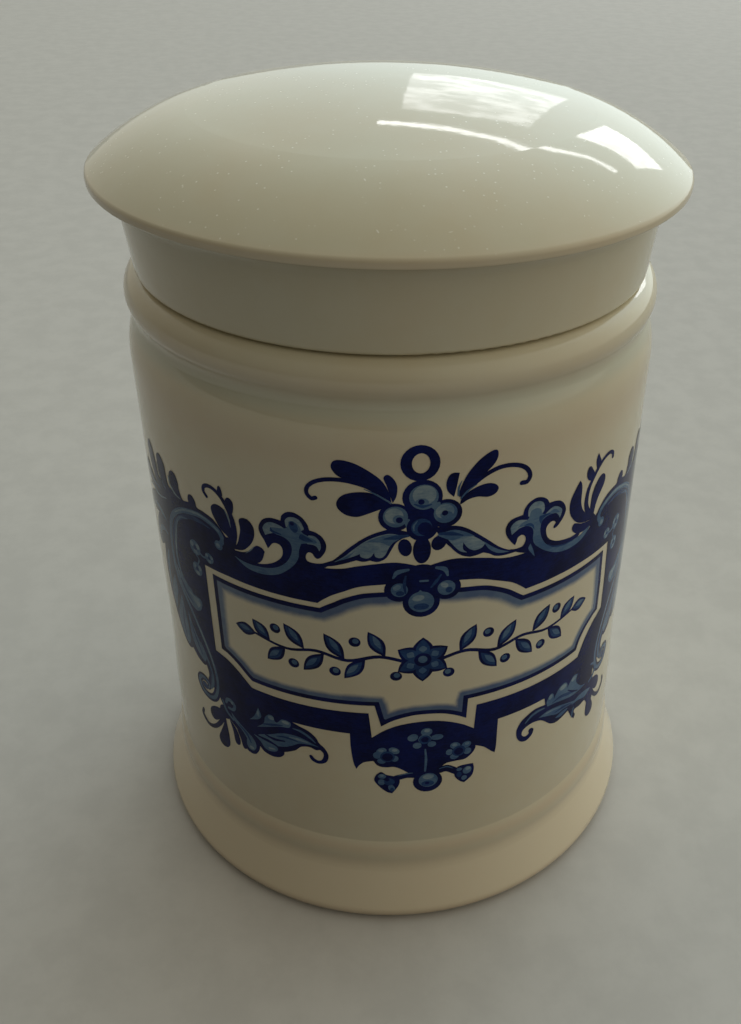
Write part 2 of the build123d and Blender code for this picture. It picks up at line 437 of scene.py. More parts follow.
def crown():
    """Ring, three berries and a bud over the frame, with leaves and a tendril on each side."""
    put(
        "dark",
        # left: tendril, long leaf, round leaf, short leaf
        stroke(
            [(-7.4, 99.6), (-9.4, 100.7), (-12.2, 101.4), (-14.9, 101.35), (-17.0, 100.7), (-18.25, 99.6),
             (-18.5, 98.4), (-17.8, 97.5), (-17.1, 97.7)],
            [0.7, 0.75, 0.75, 0.7, 0.7, 0.75],
        ),
        leaf([(-5.2, 97.8), (-5.6, 99.6), (-6.6, 101.6), (-8.4, 103.2), (-10.6, 104.5), (-12.7, 105.0),
              (-14.0, 104.7), (-14.4, 103.6), (-13.6, 102.3), (-12.0, 101.5), (-9.9, 100.8), (-7.7, 99.5)]),
        leaf([(-5.0, 97.2), (-7.0, 98.8), (-8.8, 99.5), (-10.9, 99.4), (-12.7, 98.75), (-13.7, 97.5),
              (-13.6, 96.25), (-12.4, 95.15), (-10.6, 94.9), (-8.8, 95.6), (-7.1, 96.4)]),
        leaf([(-5.0, 97.7), (-5.4, 98.9), (-5.9, 100.7), (-6.4, 102.2), (-5.8, 102.8), (-4.9, 102.1),
              (-4.3, 100.7), (-4.45, 98.9)]),
        # right: the same, in another hand
        stroke(
            [(5.8, 98.1), (7.4, 99.9), (9.8, 101.6), (12.3, 102.4), (14.8, 102.1), (16.6, 101.1),
             (17.45, 99.6), (17.0, 98.5), (16.0, 98.5)],
            [0.6, 0.8, 0.8, 0.8, 0.8, 0.85],
        ),
        leaf([(5.3, 98.0), (5.5, 99.6), (6.6, 102.1), (8.4, 104.3), (10.3, 105.55), (11.35, 105.5),
              (11.4, 104.1), (10.5, 102.7), (8.7, 101.2), (6.8, 99.5)]),
        leaf([(5.7, 97.7), (7.3, 99.1), (9.4, 99.8), (11.0, 99.6), (11.85, 98.7), (11.4, 97.7),
              (10.1, 97.3), (8.4, 97.65), (6.9, 97.4), (5.6, 96.7)]),
        leaf(
            [(4.5, 98.2), (3.5, 99.4), (3.25, 100.9), (3.7, 102.2), (4.4, 102.6)],
            [(5.3, 102.5), (5.0, 100.6), (4.75, 99.2)],
        ),
        # petals under the bud
        disc(-3.1, 89.2, 1.1, 1.7, 8, 16), disc(-0.4, 88.6, 1.45, 2.65), disc(2.3, 89.8, 1.2, 1.5, -20, 16),
        # wings
        leaf(
            [(-1.8, 92.0), (-4.9, 92.8), (-7.0, 92.3), (-9.1, 91.25), (-11.3, 89.5), (-13.1, 87.7),
             (-14.9, 85.9)],
            [(-17.0, 84.6), (-14.9, 84.9), (-12.7, 85.7)],
            [(-10.9, 86.5), (-9.8, 86.3)],
            [(-8.7, 86.6), (-7.4, 86.4), (-6.1, 87.2), (-5.2, 88.9), (-4.3, 90.4)],
        ),
        leaf(
            [(1.4, 92.8), (4.6, 92.8), (6.6, 92.1), (8.4, 90.8), (10.5, 89.0), (12.6, 87.1), (14.4, 86.0)],
            [(16.8, 85.2), (13.7, 85.1), (12.0, 85.4), (10.9, 86.1)],
            [(9.8, 86.6), (8.6, 86.3)],
            [(7.5, 86.2), (6.2, 86.7), (5.1, 87.6), (4.1, 88.8), (3.0, 90.1)],
        ),
    )
    put(
        "faint",
        leaf(
            [(-3.4, 91.5), (-5.4, 91.9), (-7.4, 91.4), (-9.4, 90.3), (-11.2, 88.7), (-12.9, 87.0)],
            [(-14.6, 85.7), (-12.4, 86.7), (-11.0, 87.4)],
            [(-10.3, 87.8), (-10.1, 87.2), (-9.2, 87.0), (-8.5, 87.4)],
            [(-8.0, 88.2), (-7.8, 87.4), (-6.9, 87.2), (-6.2, 87.9), (-5.6, 89.3), (-4.8, 90.4)],
        ),
        leaf(
            [(3.3, 90.9), (4.8, 91.3), (6.8, 90.9), (8.8, 89.6)],
            [(10.1, 88.4), (9.4, 87.6), (8.2, 87.4), (7.1, 88.1)],
            [(6.3, 89.3), (6.3, 88.0)],
            [(7.0, 87.2), (5.9, 87.6), (4.8, 88.8)],
        ),
    )
    put(
        "pale",
        leaf(
            [(-3.0, 91.5), (-5.4, 91.8), (-7.4, 91.2)],
            [(-9.4, 90.1), (-7.0, 90.2), (-5.6, 89.6), (-5.0, 90.2)],
        ),
        leaf([(-11.0, 88.4), (-12.9, 86.8)], [(-14.2, 85.9), (-12.2, 86.9)]),
        leaf([(1.9, 91.3), (4.5, 92.0), (6.6, 91.3)], [(8.2, 90.2), (6.2, 90.4), (4.4, 90.0)]),
        leaf(
            [(9.7, 88.9), (11.4, 87.4), (13.0, 86.3)],
            [(14.6, 85.6), (13.2, 85.7), (12.0, 86.1), (10.7, 87.2)],
        ),
        stroke([(-9.4, 100.1), (-7.4, 99.1), (-5.2, 97.6)], [0.12, 0.3, 0.25]),
        stroke([(5.6, 97.7), (6.6, 98.9), (8.2, 100.0)], [0.2, 0.35, 0.1]),
        stroke([(5.2, 98.4), (5.25, 99.8), (5.7, 101.0)], [0.3, 0.35, 0.1]),
    )
    put(
        "mid",
        stroke([(-2.6, 91.5), (-4.6, 91.2), (-6.4, 90.9)], [0.5, 0.9, 0.2]),
        stroke([(2.4, 91.5), (4.4, 91.3), (6.2, 90.7)], [0.5, 0.8, 0.2]),
    )
    # berries
    put(
        "dark",
        disc(-0.4, 98.6, 3.15, 3.2), disc(-4.7, 95.0, 2.6), disc(3.3, 95.3, 2.65), disc(-0.6, 94.6, 2.6),
    )
    put(
        "pale",
        disc(-0.2, 98.6, 2.3, 2.3), disc(-4.6, 95.1, 1.95), disc(3.25, 95.4, 1.9),
        leaf([(-3.4, 94.6), (-2.9, 93.0)], [(-2.4, 91.8), (-2.2, 93.2), (-2.4, 94.6)]),
        leaf([(0.5, 96.9), (1.4, 96.2)], [(1.6, 95.0), (2.3, 96.6), (2.2, 97.6)]),
    )
    put("faint", disc(-0.1, 99.0, 1.85, 1.75), disc(-4.8, 95.3, 1.45, 1.4), disc(3.15, 95.7, 1.5, 1.35))
    put("pale", disc(-0.5, 97.6, 1.1, 0.8), disc(-4.1, 94.6, 0.95, 0.85), disc(3.4, 95.0, 1.0, 0.7))
    put("mid", stroke([(-1.7, 97.4), (-0.4, 96.9), (1.0, 97.2)], [0.2, 0.6, 0.2]))
    put("dark", disc(-0.6, 97.75, 0.5), disc(-4.0, 94.5, 0.55), disc(3.15, 95.4, 0.5))
    # bud under them
    put("dark", disc(-0.4, 92.9, 2.5))
    put("mid", disc(-0.5, 93.0, 1.65))
    put("dark", disc(0.0, 92.7, 1.15, 1.25))
    put("pale", stroke([(-1.7, 92.4), (-1.75, 93.3), (-1.2, 94.2)], [0.15, 0.35, 0.15]))
    # ring
    put("dark", disc(-0.8, 104.7, 3.05, 3.15))
    put("bare", disc(-0.7, 104.7, 1.4, 1.75))


def trefoil():
    """Three-lobed bloom on a curved stem, on each side of the crown."""
    put(
        "dark",
        leaf(
            [(-26.0, 85.9), (-26.6, 87.3), (-27.35, 88.6), (-27.45, 89.9), (-26.6, 91.4), (-25.1, 92.15)],
            [(-23.3, 92.1), (-23.0, 93.2), (-22.0, 94.05), (-20.8, 94.15), (-19.5, 93.5), (-18.7, 92.4)],
            [(-18.4, 91.3), (-17.2, 91.0), (-16.2, 90.2), (-15.7, 88.9), (-15.95, 87.5), (-16.8, 86.2),
             (-17.4, 85.95)],
            [(-17.8, 86.3), (-18.2, 86.9), (-18.8, 86.9), (-19.2, 86.3), (-19.2, 85.5), (-18.7, 85.05),
             (-17.6, 84.95), (-16.4, 85.2)],
            [(-14.8, 86.0), (-16.4, 84.2), (-21, 83.5), (-25, 81), (-30, 80.6)],
            [(-33, 81.8), (-30.6, 82.0), (-28.2, 82.1), (-26.2, 82.7), (-24.6, 83.7), (-23.5, 85.0),
             (-23.3, 86.3), (-23.6, 87.1), (-24.3, 87.4), (-25.0, 87.2), (-25.5, 86.6)],
        ),
        leaf(
            [(15.55, 86.5), (14.7, 87.5), (13.85, 88.9), (13.6, 90.2), (14.05, 91.4), (15.0, 92.0)],
            [(16.7, 92.2), (16.95, 93.3), (17.8, 94.3), (19.0, 94.75), (20.25, 94.5), (21.3, 93.8)],
            [(21.9, 92.85), (23.1, 92.8), (24.3, 92.4), (25.3, 91.4), (25.8, 90.1), (25.5, 89.0),
             (24.8, 88.0), (24.0, 87.3), (23.4, 87.25), (23.25, 87.65)],
            [(23.7, 88.3), (23.3, 88.75), (22.7, 88.85), (22.1, 88.55), (21.7, 87.9), (21.75, 87.0),
             (22.1, 86.0), (22.9, 85.1), (24.3, 84.3), (26.2, 83.8), (28.3, 83.6)],
            [(31.0, 84.2), (28, 81.6), (24, 82.2), (20.5, 83.9), (18.2, 84.2), (16.2, 84.9)],
            [(14.6, 86.0), (15.4, 85.8), (16.2, 85.75), (17.0, 85.9), (17.45, 86.5), (17.55, 87.3),
             (17.2, 88.0), (16.6, 88.25), (16.0, 87.9), (15.8, 87.2)],
        ),
    )
    put(
        "faint",
        # left: three lobes
        leaf([(-26.3, 88.5), (-26.7, 89.8), (-26.0, 90.9), (-24.9, 91.35), (-23.4, 91.05), (-22.6, 90.4),
              (-23.4, 89.4), (-24.8, 89.3)]),
        leaf([(-22.4, 91.2), (-22.5, 92.3), (-21.9, 93.05), (-20.9, 93.25), (-20.0, 92.9), (-19.5, 92.0),
              (-19.4, 91.2), (-21.0, 90.6)]),
        leaf(
            [(-18.6, 90.3), (-17.6, 90.3), (-16.8, 89.5), (-16.6, 88.3)],
            [(-16.9, 87.5), (-17.3, 88.3), (-18.0, 88.6), (-19.0, 88.7)],
        ),
        # right: three lobes
        leaf([(14.8, 88.8), (14.5, 90.2), (15.0, 91.0), (15.9, 91.35), (17.1, 91.1), (18.2, 90.6),
              (17.6, 89.9), (16.2, 89.7)]),
        leaf([(17.7, 91.6), (17.7, 92.9), (18.3, 93.75), (19.2, 94.0), (20.2, 93.7), (20.8, 92.9),
              (20.8, 91.6), (19.4, 90.8)]),
        leaf(
            [(21.2, 90.9), (22.1, 91.5), (23.1, 91.75), (24.2, 91.2), (24.9, 90.3)],
            [(24.5, 88.9), (24.1, 89.7), (23.4, 90.3), (22.2, 90.5)],
        ),
    )
    put(
        "pale",
        # left: heart and stem
        leaf(
            [(-25.4, 89.5), (-25.2, 90.3), (-23.6, 90.6), (-22.4, 90.9), (-21.8, 91.9), (-20.8, 92.3),
             (-20.0, 91.7), (-19.6, 90.6), (-18.4, 90.0), (-17.3, 89.4), (-17.5, 88.9), (-18.6, 88.75)],
            [(-19.9, 88.4), (-20.35, 87.0), (-20.5, 85.6), (-21.2, 84.1), (-22.6, 82.5), (-24.4, 81.1),
             (-26.6, 80.3), (-29, 80.1), (-31, 80.5)],
            [(-33.2, 81.9), (-31, 81.4), (-28.6, 81.45), (-26.4, 81.8), (-24.4, 82.6), (-22.8, 84.0),
             (-21.9, 85.6), (-21.6, 87.0), (-21.9, 88.2), (-22.9, 88.95), (-24.2, 89.2)],
        ),
        # right: heart, stem and the sliver beside it
        leaf(
            [(15.8, 89.9), (16.6, 90.6), (17.8, 91.1), (18.2, 92.4), (19.2, 92.7), (20.2, 92.2),
             (20.6, 91.2), (21.6, 90.9), (23.2, 91.2), (24.3, 90.2), (23.2, 90.4), (21.9, 90.4),
             (20.9, 90.0)],
            [(20.45, 89.2), (20.4, 88.0), (20.7, 86.7), (21.4, 85.3), (22.4, 84.2), (24.0, 83.3),
             (26.0, 82.8), (28.5, 82.7), (30.6, 83.0)],
            [(32.6, 84.1), (33.0, 83.6), (31.4, 82.1), (29.5, 81.4), (27, 81.3), (24.4, 81.9), (22.0, 83.2),
             (20.4, 84.5), (19.4, 85.6), (19.0, 86.8), (19.0, 88.2), (18.5, 89.2), (17.4, 89.8)],
        ),
        leaf([(18.6, 85.9), (18.25, 85.0), (18.9, 83.9)], [(19.7, 82.9), (19.3, 84.3)]),
    )
    put(
        "mid",
        leaf([(-21.9, 92.2), (-21.2, 92.5), (-20.5, 92.0), (-20.3, 91.0), (-20.9, 90.3), (-21.7, 91.0)]),
        stroke([(-25.2, 90.2), (-24.9, 89.6), (-23.4, 89.4)], [0.2, 0.6, 0.2]),
        leaf([(-17.8, 89.2), (-18.6, 89.8), (-19.8, 90.3), (-20.2, 89.4), (-19.2, 89.0)]),
        leaf([(20.0, 90.9), (21.2, 90.9), (22.4, 90.65), (20.9, 90.2), (20.5, 89.2), (20.0, 90.0)]),
        leaf([(16.9, 90.0), (18.0, 90.2), (18.9, 89.6), (19.1, 88.6), (18.6, 89.3), (17.7, 89.75)]),
        stroke([(22.2, 84.4), (23.8, 83.35), (26.0, 82.75), (28.6, 82.6)], [0.15, 0.3, 0.3, 0.1]),
    )
    put("dark", disc(-21.3, 91.95, 0.35))


def palmette():
    """Fan of leaves and a tendril where the stem of the bloom meets the great scroll."""
    put(
        "dark",
        # left
        leaf(
            [(-26.7, 85.0), (-27.3, 85.6), (-28.2, 85.7), (-29.0, 85.0), (-30.2, 83.9), (-31.4, 83.3)],
            [(-33.6, 83.0), (-32.5, 81.9), (-30.5, 81.6), (-28.6, 82.0), (-27.4, 83.0)],
        ),
        leaf([(-33.6, 83.2), (-32.3, 84.6), (-31.7, 86.2), (-31.3, 88.0), (-31.4, 89.7), (-30.6, 90.4),
              (-29.5, 90.4), (-28.6, 89.4), (-28.45, 88.0), (-28.9, 86.4), (-29.9, 84.9), (-31.3, 83.7)]),
        stroke(
            [(-33.8, 83.0), (-32.8, 86.0), (-32.7, 88.2), (-33.1, 90.0), (-33.9, 91.6), (-34.9, 92.9),
             (-36.2, 93.8), (-37.6, 94.0), (-38.7, 93.5), (-38.95, 92.5), (-38.3, 91.7)],
            [1.6, 1.2, 1.0, 0.8, 0.75, 0.75, 0.7],
        ),
        blob((-34.1, 91.8), (-33.8, 93.0), (-33.1, 93.4), (-32.4, 92.9), (-32.3, 91.9), (-32.6, 90.6),
             (-33.2, 90.2)),
        disc(-34.0, 83.9, 1.3), disc(33.7, 84.2, 1.1),
        blob((-35.5, 93.4), (-35.4, 94.6), (-35.0, 95.0), (-34.6, 94.5), (-34.5, 93.2)),
        leaf([(-33.7, 85.0), (-33.2, 87.4), (-33.5, 89.0), (-34.2, 90.4), (-35.4, 91.0), (-36.6, 90.9),
              (-37.5, 90.0), (-37.4, 88.8), (-36.6, 87.4), (-35.6, 86.2)]),
        # right
        leaf([(33.6, 84.7), (31.6, 85.0), (30.2, 85.3), (29.2, 85.8), (28.3, 86.1), (27.85, 85.4),
              (28.2, 84.5), (29.2, 83.7), (30.8, 83.3), (32.6, 83.6)]),
        leaf(
            [(33.4, 84.9), (31.4, 85.1), (29.6, 85.7), (28.3, 86.7), (27.2, 88.2), (26.7, 89.8),
             (26.8, 91.4), (27.6, 93.0)],
            [(28.7, 94.6), (29.3, 93.6), (29.5, 92.0), (29.55, 90.2), (30.0, 88.6), (31.0, 87.2)],
        ),
        stroke(
            [(33.6, 84.8), (31.9, 86.8), (31.15, 88.6), (31.05, 90.4), (31.4, 92.0), (32.4, 93.7),
             (33.7, 95.2), (35.0, 96.2), (36.7, 96.65), (37.9, 96.1), (38.1, 95.2)],
            [1.5, 1.1, 0.95, 0.85, 0.75, 0.75, 0.7],
        ),
        blob((30.4, 95.5), (30.7, 96.3), (31.3, 96.3), (31.9, 95.5), (32.5, 94.6), (32.6, 93.8),
             (31.9, 93.3), (31.0, 93.7), (30.5, 94.5)),
        leaf([(33.1, 98.1), (32.7, 97.1), (32.8, 96.0)], [(33.2, 94.8), (34.2, 95.6), (34.0, 96.6)]),
        leaf([(33.6, 85.0), (32.5, 86.8), (32.4, 88.4), (32.6, 90.2), (33.3, 91.8), (34.3, 92.9),
              (35.4, 93.1), (36.15, 92.3), (36.1, 91.0), (35.4, 89.9), (34.5, 88.6), (33.9, 87.0)]),
    )
    put(
        "faint",
        stroke([(-34.4, 90.7), (-33.7, 89.4), (-33.3, 87.6)], [0.15, 0.35, 0.1]),
        stroke([(-30.6, 83.4), (-29.6, 84.3), (-28.7, 85.4)], [0.1, 0.25, 0.1]),
    )


def scroll():
    """Great C-scroll beside the frame, with knobs over it, a fish tail inside it and a volute under it."""
    put_pair(
        "dark",
        leaf(
            [(34.6, 85.0), (37.0, 87.3), (39.5, 88.0), (41.3, 88.1), (41.7, 89.2), (42.5, 90.0),
             (43.4, 89.8), (43.8, 88.9)],
            [(43.7, 88.1), (45.6, 87.7), (46.4, 89.2), (46.5, 90.6), (47.2, 91.9), (48.3, 92.2),
             (49.3, 91.5), (49.6, 90.3), (49.2, 88.9)],
            [(48.6, 87.9), (50.6, 88.2), (51.0, 90.0), (51.3, 91.9), (52.4, 93.1), (53.7, 93.1),
             (54.6, 91.9), (54.4, 90.2), (53.4, 88.4)],
            [(52.6, 87.2), (54.8, 88.0), (55.8, 90.6), (56.6, 92.6), (57.8, 93.7), (59.0, 93.0),
             (59.5, 91.2), (58.9, 89.0), (57.6, 86.9)],
            [(56.4, 85.4), (58.8, 86.2), (61.2, 87.6), (63.0, 87.4), (63.4, 85.6), (61.6, 83.8)],
            [(58.8, 82.6), (61.4, 81.4), (63.6, 79.6), (63.2, 77.8), (60.8, 77.6)],
            [(58.4, 78.2), (60.4, 75.6), (61.8, 72.4), (61.0, 70.4), (59.0, 70.6)],
            [(57.4, 72.0), (58.2, 68.6), (58.6, 64.6), (57.8, 60.6), (56.4, 57.4), (54.6, 54.2),
             (52.8, 51.8), (51.0, 51.1)],
            [(49.6, 51.9), (47.8, 50.6), (45.6, 50.2)],
            [(44.4, 51.4), (40, 56), (36, 70)],
        ),
    )
    # light veins of the knobs and outer leaves
    put_pair(
        "faint",
        stroke([(49.9, 90.4), (49.6, 88.8), (48.2, 87.7), (46.4, 87.4)], [0.3, 0.5, 0.5, 0.15]),
        stroke([(62.4, 82.6), (59.6, 83.2), (56.0, 83.2), (52.4, 84.4)], [0.2, 0.55, 0.5, 0.2]),
    )
    put_pair(
        "pale",
        stroke([(54.9, 90.6), (54.0, 88.4), (52.0, 86.6)], [0.2, 0.45, 0.2]),
        stroke([(60.8, 85.4), (58.4, 85.0), (55.0, 85.2)], [0.2, 0.5, 0.2]),
        stroke([(62.4, 78.6), (59.6, 79.6), (56.6, 79.6), (54.2, 78.8)], [0.3, 1.1, 1.2, 0.4]),
        stroke([(60.6, 71.6), (58.6, 74.4), (56.4, 75.8), (54.4, 75.6)], [0.3, 1.1, 1.0, 0.3]),
        stroke([(57.0, 63.0), (56.8, 67.6), (55.4, 71.4)], [0.4, 1.6, 0.4]),
    )
    # edge of the scroll, its blue body, and the light line that ends in a curl
    edge = [(36.7, 82.4), (35.6, 84.0), (36.4, 85.6), (38.7, 86.5), (41.2, 86.7), (44.1, 86.0),
            (46.6, 85.0), (49.1, 83.3), (51.2, 80.8), (52.3, 77.5), (52.8, 74.2), (52.8, 70.8),
            (52.0, 67.5), (49.9, 64.6), (47.8, 62.1), (45.8, 59.2), (44.1, 56.2), (42.8, 53.3),
            (42.0, 50.4), (41.9, 47.5), (42.5, 45.0), (43.7, 43.1), (45.7, 42.4), (47.7, 43.0),
            (48.5, 44.6), (47.7, 46.0), (46.0, 46.4), (44.9, 45.6), (45.2, 44.6)]
    put_pair(
        "dark",
        leaf(
            [(46.4, 53.0), (44.8, 50.2), (44.5, 48.4), (45.0, 46.8)],
            [(44.0, 45.6), (42.0, 47.0), (42.0, 52.0)],
        ),
        stroke(edge, [1.8, 1.9, 2.0, 2.2, 2.2, 2.2, 2.2, 2.2, 2.2, 2.1, 2.0, 1.9, 1.8, 1.8, 1.6, 1.0]),
    )
    put_pair(
        "mid",
        stroke(
            [(38.4, 85.2), (41.2, 85.4), (44.0, 84.9), (47.0, 83.4), (49.4, 81.2), (51.0, 78.0),
             (51.6, 74.0)],
            [0.2, 0.8, 0.9, 0.9, 0.8, 0.2],
        ),
    )
    put_pair(
        "pale",
        stroke(edge, [1.0, 1.0, 1.0, 1.1, 1.15, 1.15, 1.1, 1.0, 0.9, 0.8, 0.75, 0.8, 0.8, 0.8, 0.7, 0.4]),
        disc(36.7, 82.5, 0.95),
    )
    put_pair(
        "faint",
        stroke(
            [(36.3, 85.5), (38.7, 86.6), (41.2, 86.8), (44.1, 86.1), (46.6, 85.1), (49.1, 83.4)],
            [0.2, 0.45, 0.45, 0.2],
        ),
        disc(36.8, 82.4, 0.5),
        stroke(
            [(47.6, 61.8), (45.7, 59.0), (44.0, 56.1), (42.8, 53.2), (42.1, 50.4)],
            [0.15, 0.4, 0.4, 0.15],
        ),
    )
    # inner line
    put_pair(
        "pale",
        stroke(
            [(44.9, 84.1), (47.4, 83.2), (49.1, 81.2), (50.0, 78.3), (50.8, 75.0), (51.0, 72.4),
             (50.4, 70.0), (49.1, 68.2), (47.0, 67.0)],
            [0.2, 0.5, 0.7, 0.7, 0.7, 0.8, 0.9, 1.0],
        ),
    )
    put_pair(
        "faint",
        stroke([(48.4, 82.0), (49.8, 79.0), (50.7, 75.4), (51.0, 72.4)], [0.1, 0.3, 0.35, 0.1]),
    )
    # fish tail
    put_pair(
        "pale",
        leaf(
            [(51.9, 70.6), (50.4, 69.0), (48.6, 67.6), (46.4, 67.0)],
            [(44.0, 67.0), (43.6, 66.0), (44.3, 64.3)],
            [(45.6, 63.4), (47.4, 63.7), (49.5, 65.2), (51.3, 67.4)],
        ),
    )
    put_pair(
        "faint",
        leaf([(48.4, 67.0), (46.4, 66.6)], [(44.4, 66.6), (44.2, 65.6)], [(45.0, 64.4), (46.4, 65.4)]),
    )
    put_pair("mid", stroke([(50.6, 67.8), (48.8, 65.8), (46.8, 64.6)], [0.6, 0.8, 0.3]))
    # leaf lobes between the fish tail and the volute
    put_pair(
        "pale",
        leaf(
            [(51.6, 63.4), (53.0, 60.8), (54.4, 57.4)],
            [(54.2, 54.6), (52.6, 52.4)],
            [(51.2, 51.8), (50.3, 53.2), (50.4, 57.0)],
        ),
        leaf(
            [(49.6, 61.2), (48.3, 58.2), (45.9, 54.9)],
            [(44.6, 52.4), (45.5, 51.2), (47.8, 52.6), (49.4, 55.6)],
        ),
        leaf([(54.0, 66.6), (55.8, 63.6), (56.4, 60.4)], [(55.4, 57.8), (54.2, 61.0), (53.2, 63.8)]),
    )
    put_pair(
        "mid",
        stroke([(51.7, 60.6), (52.3, 56.4), (51.8, 53.2)], [0.2, 0.6, 0.2]),
        stroke([(48.9, 58.2), (47.4, 55.2), (46.0, 52.6)], [0.2, 0.6, 0.2]),
    )
    put_pair(
        "pale",
        stroke(
            [(46.0, 55.6), (44.2, 52.2), (43.4, 49.4), (43.6, 46.6), (44.4, 45.0)],
            [0.2, 0.6, 0.9, 0.9, 0.4],
        ),
    )
    put_pair(
        "mid",
        stroke([(44.6, 52.4), (43.6, 49.6), (43.8, 46.8)], [0.1, 0.4, 0.1]),
        disc(46.4, 44.5, 1.1, 0.8),
    )
    # florets in the ground
    for x, y, r in ((43.5, 78.8, 1.55), (39.6, 78.4, 1.1), (43.6, 74.1, 1.4)):
        put_pair("pale", disc(x, y, r))
        for turn in (0.5, 2.6, 4.7):
            put_pair("faint", disc(x + 0.62 * r * math.cos(turn), y + 0.62 * r * math.sin(turn), 0.36 * r))
        put_pair("mid", disc(x, y, 0.34 * r))
    put_pair(
        "pale",
        stroke([(42.6, 78.4), (41.2, 77.9), (40.2, 78.3)], [0.5, 0.4, 0.5]),
        stroke([(43.6, 77.4), (42.7, 76.6), (43.2, 75.4)], [0.4, 0.3, 0.4]),
    )


